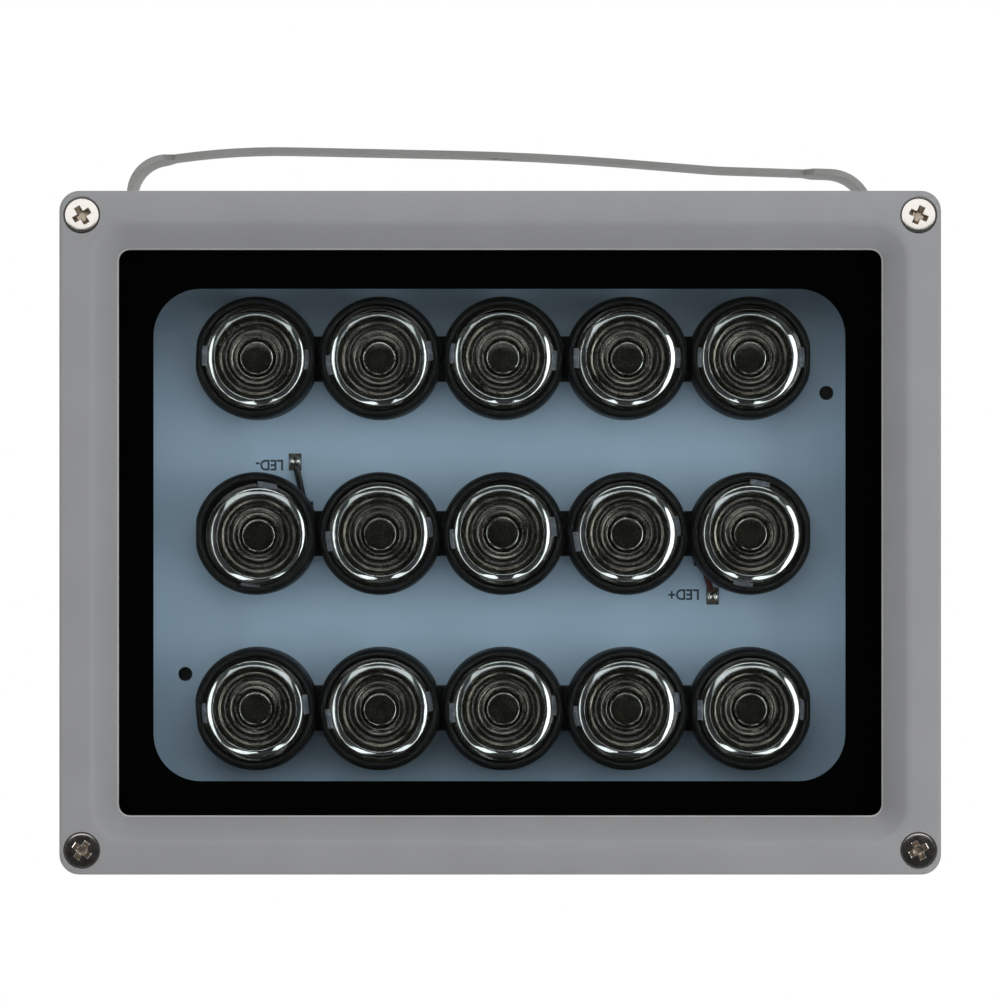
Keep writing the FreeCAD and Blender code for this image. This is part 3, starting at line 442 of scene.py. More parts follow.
def addRoundedPlate(name, size, corner):
    deselectAll()
    bpy.ops.mesh.primitive_plane_add(size=1)
    plate = bpy.context.object
    plate.name = name
    plate.scale = (size[0] * mm, size[1] * mm, 1)
    bpy.ops.object.transform_apply(location=True, rotation=True, scale=True)
    startEdit("VERT")
    bpy.ops.mesh.select_all(action="SELECT")
    bpy.ops.mesh.bevel(offset=corner * mm, segments=frameShape["cornerSteps"], affect="VERTICES")
    endEdit()
    return plate


# Picks the edges whose two ends both pass the test, which is given x, y and z in millimetres.
def pickEdges(piece, test):
    endEdit()
    points = [[value / mm for value in vertex.co] for vertex in piece.data.vertices]
    for face in piece.data.polygons:
        face.select = False
    for vertex in piece.data.vertices:
        vertex.select = False
    for edge in piece.data.edges:
        edge.select = all(test(*points[index]) for index in edge.vertices)
    bpy.ops.object.mode_set(mode="EDIT")


def inCrest(x, y, z):
    return all(abs(value) < size / 2 + slack for value, size in zip((x, y), frameShape["crest"]))


def onFace(x, y, z):
    return z > -slack


def makeLand():
    land = joinPieces([addRoundedPlate("frameOutside", frameShape["outer"], frameShape["outerCorner"]),
                       addRoundedPlate("frameCrest", frameShape["crest"], frameShape["crestCorner"])],
                      "framePlan")
    startEdit("EDGE")
    bpy.ops.mesh.select_all(action="SELECT")
    bpy.ops.mesh.delete(type="ONLY_FACE")
    bpy.ops.mesh.select_all(action="SELECT")
    bpy.ops.mesh.bridge_edge_loops()
    return land


# Goes down from the crest to the lip, widens behind it to the glass's rebate, and leaves the back open.
def sinkOpening(piece):
    shape = frameShape
    pickEdges(piece, inCrest)
    bpy.ops.mesh.edge_face_add()
    bpy.ops.mesh.select_mode(type="FACE")
    bpy.ops.mesh.inset(thickness=shape["slopeWide"] * mm)
    bpy.ops.transform.translate(value=(0, 0, -shape["slopeDeep"] * mm))
    bpy.ops.mesh.extrude_region_move(TRANSFORM_OT_translate={"value": (0, 0, -shape["lipDeep"] * mm)})
    bpy.ops.mesh.extrude_region_move(TRANSFORM_OT_translate={"value": (0, 0, 0)})
    widen = [rebate / (crest - 2 * shape["slopeWide"])
             for rebate, crest in zip(shape["rebate"], shape["crest"])]
    bpy.ops.transform.resize(value=(*widen, 1), center_override=(0, 0, 0))
    rebateDeep = shape["deep"] - shape["slopeDeep"] - shape["lipDeep"]
    bpy.ops.mesh.extrude_region_move(TRANSFORM_OT_translate={"value": (0, 0, -rebateDeep * mm)})
    bpy.ops.mesh.delete(type="ONLY_FACE")


def closeBack(piece):
    bpy.ops.mesh.select_mode(type="EDGE")
    pickEdges(piece, lambda x, y, z: onFace(x, y, z) and not inCrest(x, y, z))
    bpy.ops.mesh.extrude_edges_move(TRANSFORM_OT_translate={"value": (0, 0, -frameShape["deep"] * mm)})
    pickEdges(piece, lambda x, y, z: z < slack - frameShape["deep"])
    bpy.ops.mesh.bridge_edge_loops()
    bpy.ops.mesh.select_all(action="SELECT")
    bpy.ops.mesh.normals_make_consistent(inside=False)


def softenFrame(piece):
    for edgeTest, (width, steps) in (
            (lambda x, y, z: onFace(x, y, z) and not inCrest(x, y, z), frameShape["softOuter"]),
            (lambda x, y, z: onFace(x, y, z) and inCrest(x, y, z), frameShape["softCrest"]),
            (lambda x, y, z: abs(z + frameShape["slopeDeep"]) < slack, frameShape["softLip"])):
        pickEdges(piece, edgeTest)
        bpy.ops.mesh.bevel(offset=width * mm, segments=steps, affect="EDGES")
    endEdit()


def sinkFrontHole(piece, x, y):
    top, foot = frameShape["sinkTop"], frameShape["sinkFoot"]
    wall, deep, over = frameShape["sinkWall"], frameShape["sinkDeep"], frameShape["sinkOver"]
    rings = [(foot, -frameShape["deep"] - over), (foot, -deep), (top, -wall), (top, over)]
    cutter = turnRings("sinkCutter", rings, frameShape["sinkSides"])
    cutter.location = (x * mm, y * mm, 0)
    bpy.ops.object.transform_apply(location=True, rotation=True, scale=True)
    addBoolean(piece, cutter)
    applyModifiers(piece)
    removePiece(cutter)


def makeFrontFrame():
    plan = makeLand()
    sinkOpening(plan)
    closeBack(plan)
    softenFrame(plan)
    for sideX in (-1, 1):
        for sideY in (-1, 1):
            sinkFrontHole(plan, sideX * frameShape["screws"][0] / 2, sideY * frameShape["screws"][1] / 2)
    return plan


def placeFrontFrame():
    plan = makeFrontFrame()
    frontFrame = standCopy(plan, "frontFrame", Vector((middle.x, frontY, middle.z)))
    removePiece(plan)
    giveMaterial(frontFrame, made["greyCoat"])
    # Faces in the band round the lip take the lighter grey, a painted highlight.
    frontFrame.data.materials.append(made["lipPaintedHighlight"])
    highlightFrom, highlightTo = [frontY + (frameShape["slopeDeep"] + depth) * mm for depth in frameShape["highlightBand"]]
    for face in frontFrame.data.polygons:
        face.material_index = int(highlightFrom < face.center.y < highlightTo)
    smoothPiece(frontFrame, frameShape["smooth"])
    ridePiece(frontFrame, headBody, "frame_grey", "front_frame")


placeFrontFrame()
print("front frame made")


# Cross-head screws: rings from the shank's foot to the crown, which stays under the frame's face. The
# cross is two tapered bars, and faces in its reach and depth get a darker colour, painted shade in the
# recess.
screwShape = {
    "rings": [(1.7, -6.0), (1.7, -2.4), (3.3, -0.85), (3.42, -0.7), (3.42, -0.42), (3.34, -0.33),
              (3.2, -0.3), (2.6, -0.27), (1.4, -0.24), (0.6, -0.23)],
    "sides": 48, "smooth": 30, "recessLength": 4.7, "recessWidth": 1.3, "recessDepth": 1.7, "over": 0.5,
    "taper": (0.45, 0.72), "softRecess": 0.07, "softAngle": 40, "shadeReach": 2.45, "shadeDepth": (-3, -0.36),
}


def makeCrossCutter(shape):
    halfLong, halfWide = shape["recessLength"] / 2 * mm, shape["recessWidth"] / 2 * mm
    foot = -shape["recessDepth"] * mm
    bars = []
    for turn in (0, 90):
        bar = addBlock("recessBar", (-halfLong, -halfWide, foot), (halfLong, halfWide, shape["over"] * mm))
        startEdit("FACE")
        endEdit()
        for face in bar.data.polygons:
            face.select = face.normal.z < -0.5  # the bar's foot
        bpy.ops.object.mode_set(mode="EDIT")
        bpy.ops.transform.resize(value=(*shape["taper"], 1), center_override=(0, 0, foot))
        endEdit()
        bar.rotation_euler.z = math.radians(turn)
        bpy.ops.object.transform_apply(location=True, rotation=True, scale=True)
        bars.append(bar)
    return bars


def makeScrewTemplate(shape):
    screw = turnRings("screwTemplate", shape["rings"], shape["sides"])
    bars = makeCrossCutter(shape)
    for bar in bars:
        addBoolean(screw, bar)
    addBevel(screw, shape["softRecess"] * mm, 1, shape["softAngle"])
    applyModifiers(screw)
    for bar in bars:
        removePiece(bar)
    giveMaterial(screw, made["screwNickel"])
    # Faces inside the cross recess take the darker metal, painted shade.
    screw.data.materials.append(made["screwRecessShade"])
    deepest, highest = shape["shadeDepth"]
    for face in screw.data.polygons:
        reach = math.hypot(face.center.x, face.center.y) / mm
        face.material_index = int(reach < shape["shadeReach"] and deepest < face.center.z / mm < highest)
    smoothPiece(screw, shape["smooth"])
    return screw


# Places are half sizes from the middle of the head. A lean tips a head up and sideways, as a driver
# leaves it, and the turn is the cross's own.
frameScrews = {
    "spot": (83.5, 63.4),
    "turns": {(-1, 1): 32, (1, 1): -24, (-1, -1): 55, (1, -1): 28},
    "leans": {(-1, 1): (-5.2, 0.5), (1, 1): (-5.2, -0.5), (-1, -1): (0.5, 1), (1, -1): (0.5, -1)},
}


def placeFrameScrews():
    template = makeScrewTemplate(screwShape)
    awayX, awayZ = frameScrews["spot"]
    copies = []
    for (sideX, sideZ), turn in frameScrews["turns"].items():
        spot = Vector((sideX * awayX * mm, frontY, middle.z + sideZ * awayZ * mm))
        copies.append(standCopy(template, "frameScrew", spot, turn, frameScrews["leans"][sideX, sideZ]))
    removePiece(template)
    screws = joinPieces(copies, "frameScrews")
    ridePiece(screws, headBody, "screw_steel", "frame_screws")


placeFrameScrews()
print("frame screws placed")


# LEDs: places on the board, in millimetres from the middle of the head.
ledGrid = {"columns": 5, "rows": 3, "pitchX": 25.0, "pitchZ": 35.5, "shiftX": 0.6, "shiftZ": -0.16}

# A holder is turned from its foot, cut flat on two sides and notched for its lens's tabs. Two gate marks
# stand on its rim, and a low web joins its foot with its right neighbour's. A lens that is turned as far
# as "crossed" has its holder's notches turned with it, and its holder's flats stay upright.
holderShape = {
    "rings": [(12.45, 0.0), (12.45, 9.0), (12.3, 12.3), (11.95, 13.2), (11.55, 13.65), (11.2, 13.75),
              (10.95, 13.6), (10.85, 13.2), (10.8, 12.3), (10.3, 12.0), (9.2, 11.8), (8.9, 11.2),
              (8.2, 5.0), (7.4, 2.6), (3.0, 2.5)],
    "sides": 72, "smooth": 30, "flat": 11.95, "crossed": 80.5,
    "notchWidth": 4.4, "notchFrom": 10.2, "notchTo": 11.2, "notchFloor": 12.9, "notchRoof": 14.5,
    "webHalfX": 1.4, "webHalfZ": 4.6, "webTall": 3.2, "webSoft": 0.4,
    "gateWidth": 1.3, "gateFrom": 11.0, "gateTo": 11.5, "gateLow": 12.72, "gateTop": 13.72, "gateSoft": 0.12,
}

# A lens's finishes lie between the radii given for them, on its front only. Each lens leans a little as it
# was seated: "leans" has the ones read from the photo, by row and column, and "wobble" is for the others.
lensShape = {
    "rings": [(1.0, 7.9), (4.2, 8.0), (7.6, 9.6), (8.5, 11.2), (9.1, 11.9), (10.2, 12.05),
              (10.55, 12.25), (10.6, 12.65), (10.45, 12.75), (9.8, 12.75), (9.74, 12.82), (9.68, 12.95),
              (9.6, 13.02), (9.45, 13.09), (9.25, 13.17), (9.0, 13.27), (8.75, 13.36), (8.5, 13.44),
              (8.4, 13.38), (8.3, 13.1), (8.15, 12.3), (7.85, 11.2), (7.6, 10.55),
              (7.45, 10.35), (7.3, 10.3), (7.1, 10.24), (6.95, 10.15), (6.8, 9.9), (6.5, 9.45), (6.1, 9.2),
              (5.75, 9.15), (5.5, 9.24), (5.25, 9.3), (5.05, 9.26), (4.85, 9.1), (4.7, 9.0),
              (4.55, 9.02), (4.35, 9.12), (4.15, 9.15), (3.95, 9.08), (3.75, 8.9), (3.6, 8.85),
              (3.5, 9.1), (3.42, 9.35), (3.3, 9.5), (3.12, 9.57), (2.9, 9.6), (1.6, 9.62), (0.5, 9.62)],
    "finishes": {"lensEdge": [(9.55, 9.76)], "lensBand": [(8.32, 9.55)],
                 "lensRing": [(6.9, 7.5), (4.9, 5.6), (4.0, 4.5), (2.95, 3.15)],
                 "lensSpark": [(3.15, 3.45)]},
    "sides": 72, "smooth": 60, "underside": -0.2,
    "tabFrom": 9.82, "tabTo": 11.0, "tabWidth": 4.0, "tabLow": 12.4, "tabHigh": 12.9, "tabSoft": 0.15,
    "leans": {(1, 0): (2.5, 3.0)}, "wobble": 0.7, "wobbleStep": 2.4, "wobbleSkew": 1.7,
    "turns": [[-2, 8, -4, 0, 0], [80.5, 8, 7, 9, 80.5], [5, 10, 4, 8, 0]],
}


def makeHolderTemplate(shape, notchTurn=0):
    holder = turnRings("holderTemplate", shape["rings"], shape["sides"])
    for side in (-1, 1):
        startEdit("FACE")
        bpy.ops.mesh.select_all(action="SELECT")
        bpy.ops.mesh.bisect(plane_co=(side * shape["flat"] * mm, 0, 0), plane_no=(side, 0, 0),
                            use_fill=True, clear_outer=True)
        endEdit()
        halfWidth = shape["notchWidth"] / 2
        near, far = sorted((side * shape["notchFrom"], side * shape["notchTo"]))
        notch = addBlock("notch", (near * mm, -halfWidth * mm, shape["notchFloor"] * mm),
                         (far * mm, halfWidth * mm, shape["notchRoof"] * mm))
        notch.rotation_euler.z = math.radians(notchTurn)
        bpy.ops.object.transform_apply(location=True, rotation=True, scale=True)
        addBoolean(holder, notch)
        applyModifiers(holder)
        removePiece(notch)
        pickOnly(holder)
    giveMaterial(holder, made["holderBlack"])
    marks = []
    halfWidth = shape["gateWidth"] / 2
    for side in (-1, 1):
        near, far = sorted((side * shape["gateFrom"], side * shape["gateTo"]))
        marks.append(addSoftBlock("gateMark", (-halfWidth * mm, near * mm, shape["gateLow"] * mm),
                                  (halfWidth * mm, far * mm, shape["gateTop"] * mm),
                                  shape["gateSoft"], made["holderBlack"]))
    holder = joinPieces([holder, *marks], "holderTemplate")
    smoothPiece(holder, shape["smooth"])
    return holder


def makeLensTemplate(shape):
    lens = turnRings("lensTemplate", shape["rings"], shape["sides"])
    giveMaterial(lens, made["lensDark"])
    for finish in shape["finishes"]:
        lens.data.materials.append(made[finish])
    for face in lens.data.polygons:
        reach = math.hypot(face.center.x, face.center.y) / mm
        for index, spans in enumerate(shape["finishes"].values(), 1):
            if face.normal.z >= shape["underside"] and any(low < reach < high for low, high in spans):
                face.material_index = index
    smoothPiece(lens, shape["smooth"])
    tabs = []
    halfWidth = shape["tabWidth"] / 2 * mm
    for side in (-1, 1):
        near, far = sorted((side * shape["tabFrom"] * mm, side * shape["tabTo"] * mm))
        tabs.append(addSoftBlock("lensTab", (near, -halfWidth, shape["tabLow"] * mm),
                                 (far, halfWidth, shape["tabHigh"] * mm), shape["tabSoft"], made["lensTab"]))
    return joinPieces([lens, *tabs], "lensTemplate")


def makeWeb(shape, spot):
    x = spot.x + ledGrid["pitchX"] / 2 * mm
    halfX, halfZ = shape["webHalfX"] * mm, shape["webHalfZ"] * mm
    return addSoftBlock("holderWeb", (x - halfX, spot.y - shape["webTall"] * mm, spot.z - halfZ),
                        (x + halfX, spot.y, spot.z + halfZ), shape["webSoft"], made["holderBlack"])


def ledSpots():
    midColumn, midRow = (ledGrid["columns"] - 1) / 2, (ledGrid["rows"] - 1) / 2
    for row in range(ledGrid["rows"]):
        for column in range(ledGrid["columns"]):
            x = (ledGrid["shiftX"] + (column - midColumn) * ledGrid["pitchX"]) * mm
            z = middle.z + (ledGrid["shiftZ"] + (midRow - row) * ledGrid["pitchZ"]) * mm
            yield row, column, Vector((x, boardY, z))


def lensLean(row, column):
    phase = lensShape["wobbleStep"] * (row * ledGrid["columns"] + column)
    wobble = (lensShape["wobble"] * math.sin(phase),
              lensShape["wobble"] * math.cos(lensShape["wobbleSkew"] * phase))
    return lensShape["leans"].get((row, column), wobble)


def placeOptics():
    plain = makeHolderTemplate(holderShape)
    crossed = makeHolderTemplate(holderShape, holderShape["crossed"])
    lensTemplate = makeLensTemplate(lensShape)
    holders, lenses = [], []
    for row, column, spot in ledSpots():
        turn = lensShape["turns"][row][column]
        if turn == holderShape["crossed"]:
            holders.append(standCopy(crossed, "lensHolder", spot))
        else:
            holders.append(standCopy(plain, "lensHolder", spot, turn))
        if column < ledGrid["columns"] - 1:
            holders.append(makeWeb(holderShape, spot))
        lenses.append(standCopy(lensTemplate, "lens", spot, turn, lensLean(row, column)))
    for template in (plain, crossed, lensTemplate):
        removePiece(template)
    ridePiece(joinPieces(holders, "lensHolders"), headBody, "holder_black", "lens_holders")
    ridePiece(joinPieces(lenses, "lensDiscs"), headBody, "lens_clear", "lenses")


placeOptics()
print("holders and lenses placed")


# Threaded bores that the board's two spare holes look into, coloured near black as painted shade in
# the holes; places are from the middle of the head.
boreShape = {
    "rings": [(1.42, -1.55), (1.42, -0.02), (1.36, 0.0), (1.25, -0.02), (1.2, -0.25), (1.05, -0.35),
              (1.2, -0.5), (1.05, -0.65), (1.2, -0.8), (1.05, -0.95), (1.2, -1.1), (1.05, -1.45)],
    "sides": 32, "smooth": 50, "spots": [(66.5, 28.5), (-64.2, -28.8)],
}


def placeBores():
    template = turnRings("boreTemplate", boreShape["rings"], boreShape["sides"])
    giveMaterial(template, made["borePaintedShade"])
    smoothPiece(template, boreShape["smooth"])
    bores = [standCopy(template, "spareBore", Vector((x * mm, boardY, middle.z + z * mm)))
             for x, z in boreShape["spots"]]
    removePiece(template)
    ridePiece(joinPieces(bores, "spareBores"), headBody, "housing_grey")


placeBores()
print("spare bores placed")


# Supply wires with their solder joints and polarity marks; places are from the middle of the head. A wire
# lies at a height over the board and goes down through a hole that is closed by a plug of sealant. Its
# knots are distances from the joint or before the hole, each with its lift over the usual height.
wireShape = {
    "radius": 0.65, "lie": 0.85, "sink": 3.0, "fromJoint": [(1.2, 0.15), (2.4, 0.1)], "lowest": 0.6,
    "beforeHole": (0.9, -0.1), "plug": 2.95, "plugTop": -0.1, "plugFoot": -1.5,
    "around": 5, "along": 10, "smooth": 60,
}
supply = {
    "minus": {"joint": (-41.8, 14.4), "hole": (-39.6, 4.9), "mark": "LED-", "markSpot": (-47.0, 13.9),
              "node": "negative_wire", "piece": "negativeWire", "finish": "wireBlack", "slot": "wire_black"},
    "plus": {"joint": (43.3, -12.9), "hole": (41.0, -5.3), "mark": "LED+", "markSpot": (37.4, -12.5),
             "node": "positive_wire", "piece": "positiveWire", "finish": "wireRed", "slot": "wire_red"},
}
markText = {"size": 3.0, "thick": 0.02, "bold": 0.07, "narrow": 0.93, "turn": 180}
solderShape = {
    "padX": 2.6, "padZ": 3.5, "padThick": 0.12, "padSoft": 0.05, "blob": 0.62, "blobTall": 0.7, "long": 1.7,
    "gap": 0.62, "lift": 0.1, "sides": 24, "rings": 14, "smooth": 60,
}


def onBoard(x, z, lift=0.0):
    return Vector((x * mm, boardY - lift * mm, middle.z + z * mm))


def makeWire(side):
    joint, hole = Vector(side["joint"]), Vector(side["hole"])
    way = (hole - joint).normalized()
    lie = wireShape["lie"]
    before, lift = wireShape["beforeHole"]
    points = [*(onBoard(*(joint + way * after), lie + rise) for after, rise in wireShape["fromJoint"]),
              onBoard(*joint.lerp(hole, wireShape["lowest"]), lie),
              onBoard(*(hole - way * before), lie + lift), onBoard(*hole, -wireShape["sink"])]
    deselectAll()
    bpy.ops.curve.primitive_bezier_curve_add(location=(0, 0, 0))
    wire = bpy.context.object
    wire.name = side["piece"]
    spline = wire.data.splines[0]
    spline.bezier_points.add(len(points) - 2)
    for knot, point in zip(spline.bezier_points, points):
        knot.co = point
        knot.handle_left_type = knot.handle_right_type = "AUTO"
    wire.data.bevel_depth = wireShape["radius"] * mm
    wire.data.bevel_resolution = wireShape["around"]
    wire.data.use_fill_caps = True
    wire.data.resolution_u = wireShape["along"]
    bpy.ops.object.convert(target="MESH")
    wire = bpy.context.object
    giveMaterial(wire, made[side["finish"]])
    smoothPiece(wire, wireShape["smooth"])
    half = wireShape["plug"] / 2
    plug = addBlock(side["piece"] + "Plug", onBoard(hole.x - half, hole.y - half, wireShape["plugTop"]),
                    onBoard(hole.x + half, hole.y + half, wireShape["plugFoot"]))
    giveMaterial(plug, made["sealRubber"])
    ridePiece(joinPieces([wire, plug], side["piece"]), headBody, side["slot"], side["node"])


def makeMark(side):
    deselectAll()
    bpy.ops.object.text_add(location=(0, 0, 0))
    mark = bpy.context.object
    mark.data.body = side["mark"]
    mark.data.size = markText["size"] * mm
    mark.data.align_x = "CENTER"
    mark.data.align_y = "CENTER"
    mark.data.extrude = markText["thick"] / 2 * mm
    mark.data.offset = markText["bold"] * mm
    mark.scale.x = markText["narrow"]
    bpy.ops.object.convert(target="MESH")
    mark = bpy.context.object
    mark.name = "markTemplate"
    bpy.ops.object.transform_apply(location=True, rotation=True, scale=True)
    giveMaterial(mark, made["boardInk"])
    spot = onBoard(*side["markSpot"], markText["thick"] / 2)
    placed = standCopy(mark, side["piece"] + "Mark", spot, markText["turn"])
    removePiece(mark)
    ridePiece(placed, headBody, "board_blue")


def makeSolder(side):
    x, z = side["joint"]
    blobs = []
    for step in (-1, 1):
        deselectAll()
        bpy.ops.mesh.primitive_uv_sphere_add(segments=solderShape["sides"], ring_count=solderShape["rings"],
                                             radius=solderShape["blob"] * mm)
        blob = bpy.context.object
        blob.scale = (1, solderShape["long"], solderShape["blobTall"] / solderShape["blob"])
        bpy.ops.object.transform_apply(location=True, rotation=True, scale=True)
        startEdit("FACE")
        bpy.ops.mesh.select_all(action="SELECT")
        bpy.ops.mesh.bisect(plane_co=(0, 0, 0), plane_no=(0, 0, -1), use_fill=True, clear_outer=True)
        endEdit()
        giveMaterial(blob, made["solderTin"])
        smoothPiece(blob, solderShape["smooth"])
        spot = onBoard(x + step * solderShape["gap"], z, solderShape["lift"])
        blobs.append(standCopy(blob, "solderBlob", spot))
        removePiece(blob)
    halfX, halfZ = solderShape["padX"] / 2, solderShape["padZ"] / 2
    pad = addSoftBlock("solderPad", onBoard(x - halfX, z - halfZ, solderShape["padThick"]),
                       onBoard(x + halfX, z + halfZ), solderShape["padSoft"], made["jointFlux"])
    return [pad, *blobs]


def placeSupply():
    solder = []
    for side in supply.values():
        makeWire(side)
        makeMark(side)
        solder += makeSolder(side)
    ridePiece(joinPieces(solder, "solderJoints"), headBody, "solder", "solder_joints")


placeSupply()
print("supply wires placed")


# Rear cover, let into the driver box, with four countersunk screws.
# They are the frame's screws, scaled down and turned to face the back.
coverScrews = {
    "spot": (44.0, 28.0), "turns": (15, 50, 75, 35), "scale": 0.72,
    "sinkTop": 3.0, "sinkFoot": 1.4, "sinkDeep": 1.6, "sinkOver": 0.2, "sinkSides": 40,
}


def sinkCoverHole(cover, spot):
    over = coverScrews["sinkOver"]
    depth = (coverScrews["sinkDeep"] + over) * mm
    deselectAll()
    bpy.ops.mesh.primitive_cone_add(vertices=coverScrews["sinkSides"], depth=depth,
                                    radius1=coverScrews["sinkFoot"] * mm,
                                    radius2=(coverScrews["sinkTop"] + over) * mm,
                                    location=spot - Vector((0, depth / 2 - over * mm, 0)),
                                    rotation=(math.radians(-90), 0, 0))
    sink = bpy.context.object
    addBoolean(cover, sink)
    applyModifiers(cover)
    removePiece(sink)


def placeCoverScrews(spots):
    template = makeScrewTemplate(screwShape)
    copies = []
    for spot, turn in zip(spots, coverScrews["turns"]):
        screw = standCopy(template, "coverScrew", Vector(), turn)
        screw.scale = [coverScrews["scale"]] * 3
        screw.rotation_euler.z = math.radians(180)
        screw.location = spot
        bpy.ops.object.transform_apply(location=True, rotation=True, scale=True)
        copies.append(screw)
    removePiece(template)
    ridePiece(joinPieces(copies, "coverScrews"), headBody, "screw_steel")


def dressRearCover():
    cover = softCopy("rear_cover", "rearCover", softEdges["cover"], made["castGrey"])
    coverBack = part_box("rear_cover")[1].y
    awayX, awayZ = coverScrews["spot"]
    spots = [Vector((sideX * awayX * mm, coverBack, middle.z + sideZ * awayZ * mm))
             for sideX in (-1, 1) for sideZ in (-1, 1)]
    for spot in spots:
        sinkCoverHole(cover, spot)
    ridePiece(cover, headBody, "housing_grey", "rear_cover")
    placeCoverScrews(spots)


dressRearCover()
print("rear cover dressed")


# Studio, in metres: pale floor under the lamp, white surroundings seen directly, dark behind the camera.
# "soft", "passed" and "shine" are the world's levels by direction, from the camera's side (-1) to the back
# (1), for light, for what is seen through glass and for reflections. "floorGlow" is each ray's share of
# plain white on the floor, which rises to the whole over "floorFade", in shares of the radius.
studio = {
    "floorDrop": 0.8, "floorRadius": 2.4, "floorBack": 2.0, "floorSides": 128, "floorFade": (0.35, 0.97),
    "floorFinish": {"color": (0.86, 0.86, 0.86), "roughness": 0.6, "cloud": 60, "shift": 0.01,
                    "grain": 2, "bump": 0.02},
    "floorGlow": {"Is Camera Ray": 0.7, "Is Transmission Ray": 0.7, "Is Glossy Ray": 0.1},
    "soft": [(-0.3, 0.2), (0.0, 0.3), (0.35, 0.75)], "passed": [(-0.3, 0.2), (0.0, 0.3), (0.35, 1.0)],
    "shine": [(-0.97, 0.02), (-0.86, 0.03), (-0.6, 0.13), (0.0, 0.25), (0.3, 1.0)],
    "lamps": [
        {"name": "topSoftbox", "spot": (0.0, -0.3, 0.4), "size": (0.6, 0.2), "power": 0.95},
        {"name": "leftSoftbox", "spot": (-0.766, -0.685, -0.2), "size": (0.17, 1.1), "power": 1.7},
        {"name": "rightSoftbox", "spot": (0.475, -0.44, -0.17), "size": (0.18, 0.78), "power": 1.75},
        {"name": "frontCard", "spot": (0.0, -1.1, 0.38), "size": (1.3, 0.6), "power": 3.5},
        {"name": "lowLeftSoftbox", "spot": (-0.25, -0.44, -0.52), "size": (0.42, 0.09), "power": 0.34},
        {"name": "lowRightSoftbox", "spot": (0.27, -0.44, -0.52), "size": (0.38, 0.09), "power": 0.3},
    ],
}


def addMath(tree, operation, first, second):
    node = tree.nodes.new("ShaderNodeMath")
    node.operation = operation
    tree.links.new(first, node.inputs[0])
    tree.links.new(second, node.inputs[1])
    return node.outputs["Value"]


# The floor keeps its light and shadow, and part of it shows as plain white to the camera and in gloss.
def makeFloorMaterial():
    material = makeFinish("paleFloor", studio["floorFinish"])
    tree = material.node_tree
    glow = tree.nodes.new("ShaderNodeEmission")
    glow.inputs["Color"].default_value = (1, 1, 1, 1)
    rays = tree.nodes.new("ShaderNodeLightPath")
    place = tree.nodes.new("ShaderNodeTexCoord")
    reach = tree.nodes.new("ShaderNodeVectorMath")
    reach.operation = "DISTANCE"
    reach.inputs[1].default_value = (0, studio["floorBack"], -studio["floorDrop"])
    tree.links.new(place.outputs["Object"], reach.inputs[0])
    fadeFrom, fadeTo = [studio["floorRadius"] * share for share in studio["floorFade"]]
    white = None
    for ray, level in studio["floorGlow"].items():
        fade = tree.nodes.new("ShaderNodeMapRange")
        fade.inputs["From Min"].default_value = fadeFrom
        fade.inputs["From Max"].default_value = fadeTo
        fade.inputs["To Min"].default_value = level
        tree.links.new(reach.outputs["Value"], fade.inputs["Value"])
        part = addMath(tree, "MULTIPLY", rays.outputs[ray], fade.outputs["Result"])
        white = addMath(tree, "MAXIMUM", white, part) if white else part
    mix = tree.nodes.new("ShaderNodeMixShader")
    tree.links.new(white, mix.inputs["Fac"])
    tree.links.new(tree.nodes["Principled BSDF"].outputs["BSDF"], mix.inputs[1])
    tree.links.new(glow.outputs["Emission"], mix.inputs[2])
    tree.links.new(mix.outputs["Shader"], tree.nodes["Material Output"].inputs["Surface"])
    return material


def makeStudio():
    deselectAll()
    bpy.ops.mesh.primitive_circle_add(vertices=studio["floorSides"], radius=studio["floorRadius"],
                                      location=(0, studio["floorBack"], -studio["floorDrop"]),
                                      fill_type="NGON")
    floor = bpy.context.object
    floor.name = "studioFloor"
    giveMaterial(floor, makeFloorMaterial())
    for lamp in studio["lamps"]:
        deselectAll()
        bpy.ops.object.light_add(type="AREA", location=lamp["spot"])
        light = bpy.context.object
        light.name = lamp["name"]
        light.data.shape = "RECTANGLE"
        light.data.size, light.data.size_y = lamp["size"]
        light.data.energy = lamp["power"]
        light.rotation_euler = (middle - light.location).to_track_quat("-Z", "Y").to_euler()


# Gives a background the levels in "stops", each a direction from -1 to 1 with its level.
def addLevels(tree, direction, background, stops):
    ramp = tree.nodes.new("ShaderNodeValToRGB")
    points = ramp.color_ramp.elements
    while len(points) < len(stops):
        points.new(0.5)
    for point, (place, level) in zip(points, stops):
        point.position = (place + 1) / 2
        point.color = (level, level, level, 1)
    tree.links.new(direction, ramp.inputs["Fac"])
    tree.links.new(ramp.outputs["Color"], background.inputs["Color"])


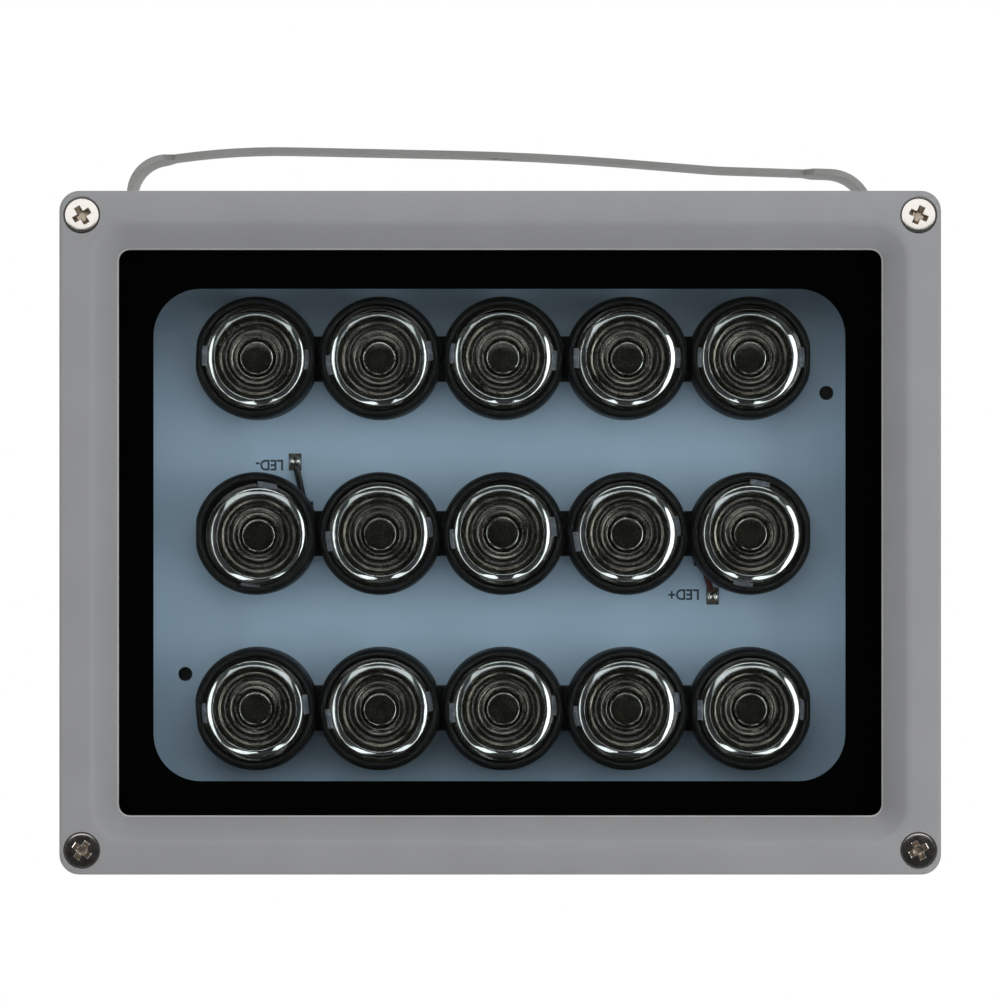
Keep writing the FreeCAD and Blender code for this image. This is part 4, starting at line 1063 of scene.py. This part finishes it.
# The world is white where the camera sees it. For light and reflections it is white behind the lamp's
# back and dim on the side that the glass faces, as in a studio with a dark room behind the camera.
def makeWorld():
    world = bpy.data.worlds.new("studioWorld")
    bpy.context.scene.world = world
    world.use_nodes = True
    tree = world.node_tree
    tree.nodes.clear()
    output = tree.nodes.new("ShaderNodeOutputWorld")
    seen, light, mirrored, passed = [tree.nodes.new("ShaderNodeBackground") for step in range(4)]
    seen.inputs["Color"].default_value = (1, 1, 1, 1)
    rays = tree.nodes.new("ShaderNodeLightPath")
    place = tree.nodes.new("ShaderNodeTexCoord")
    split = tree.nodes.new("ShaderNodeSeparateXYZ")
    tree.links.new(place.outputs["Generated"], split.inputs["Vector"])
    span = tree.nodes.new("ShaderNodeMapRange")
    span.inputs["From Min"].default_value = -1
    tree.links.new(split.outputs["Y"], span.inputs["Value"])
    for background, use in ((light, "soft"), (mirrored, "shine"), (passed, "passed")):
        addLevels(tree, span.outputs["Result"], background, studio[use])
    before = light
    for ray, background in (("Is Transmission Ray", passed), ("Is Glossy Ray", mirrored),
                            ("Is Camera Ray", seen)):
        mix = tree.nodes.new("ShaderNodeMixShader")
        tree.links.new(rays.outputs[ray], mix.inputs["Fac"])
        tree.links.new(before.outputs[0], mix.inputs[1])
        tree.links.new(background.outputs[0], mix.inputs[2])
        before = mix
    tree.links.new(before.outputs[0], output.inputs["Surface"])


# Camera: level with the middle of the head. Pixels are of the 1001 px photograph.
view = {
    "distance": 1.2, "focalPixels": 6015, "photoPixels": 1001, "headPixel": (500.2, 532.7),
    "sensor": 36.0, "clip": (0.05, 50),
}


def makeCamera():
    deselectAll()
    bpy.ops.object.camera_add(location=(0, frontY - view["distance"], middle.z),
                              rotation=(math.radians(90), 0, 0))
    camera = bpy.context.object
    camera.name = "photoCamera"
    camera.data.sensor_width = view["sensor"]
    camera.data.lens = view["focalPixels"] / view["photoPixels"] * view["sensor"]
    centre = view["photoPixels"] / 2
    camera.data.shift_x = (centre - view["headPixel"][0]) / view["photoPixels"]
    camera.data.shift_y = (view["headPixel"][1] - centre) / view["photoPixels"]
    camera.data.clip_start, camera.data.clip_end = view["clip"]
    bpy.context.scene.camera = camera


makeStudio()
makeWorld()
makeCamera()
bpy.context.scene.view_settings.view_transform = "Standard"
print("studio made")
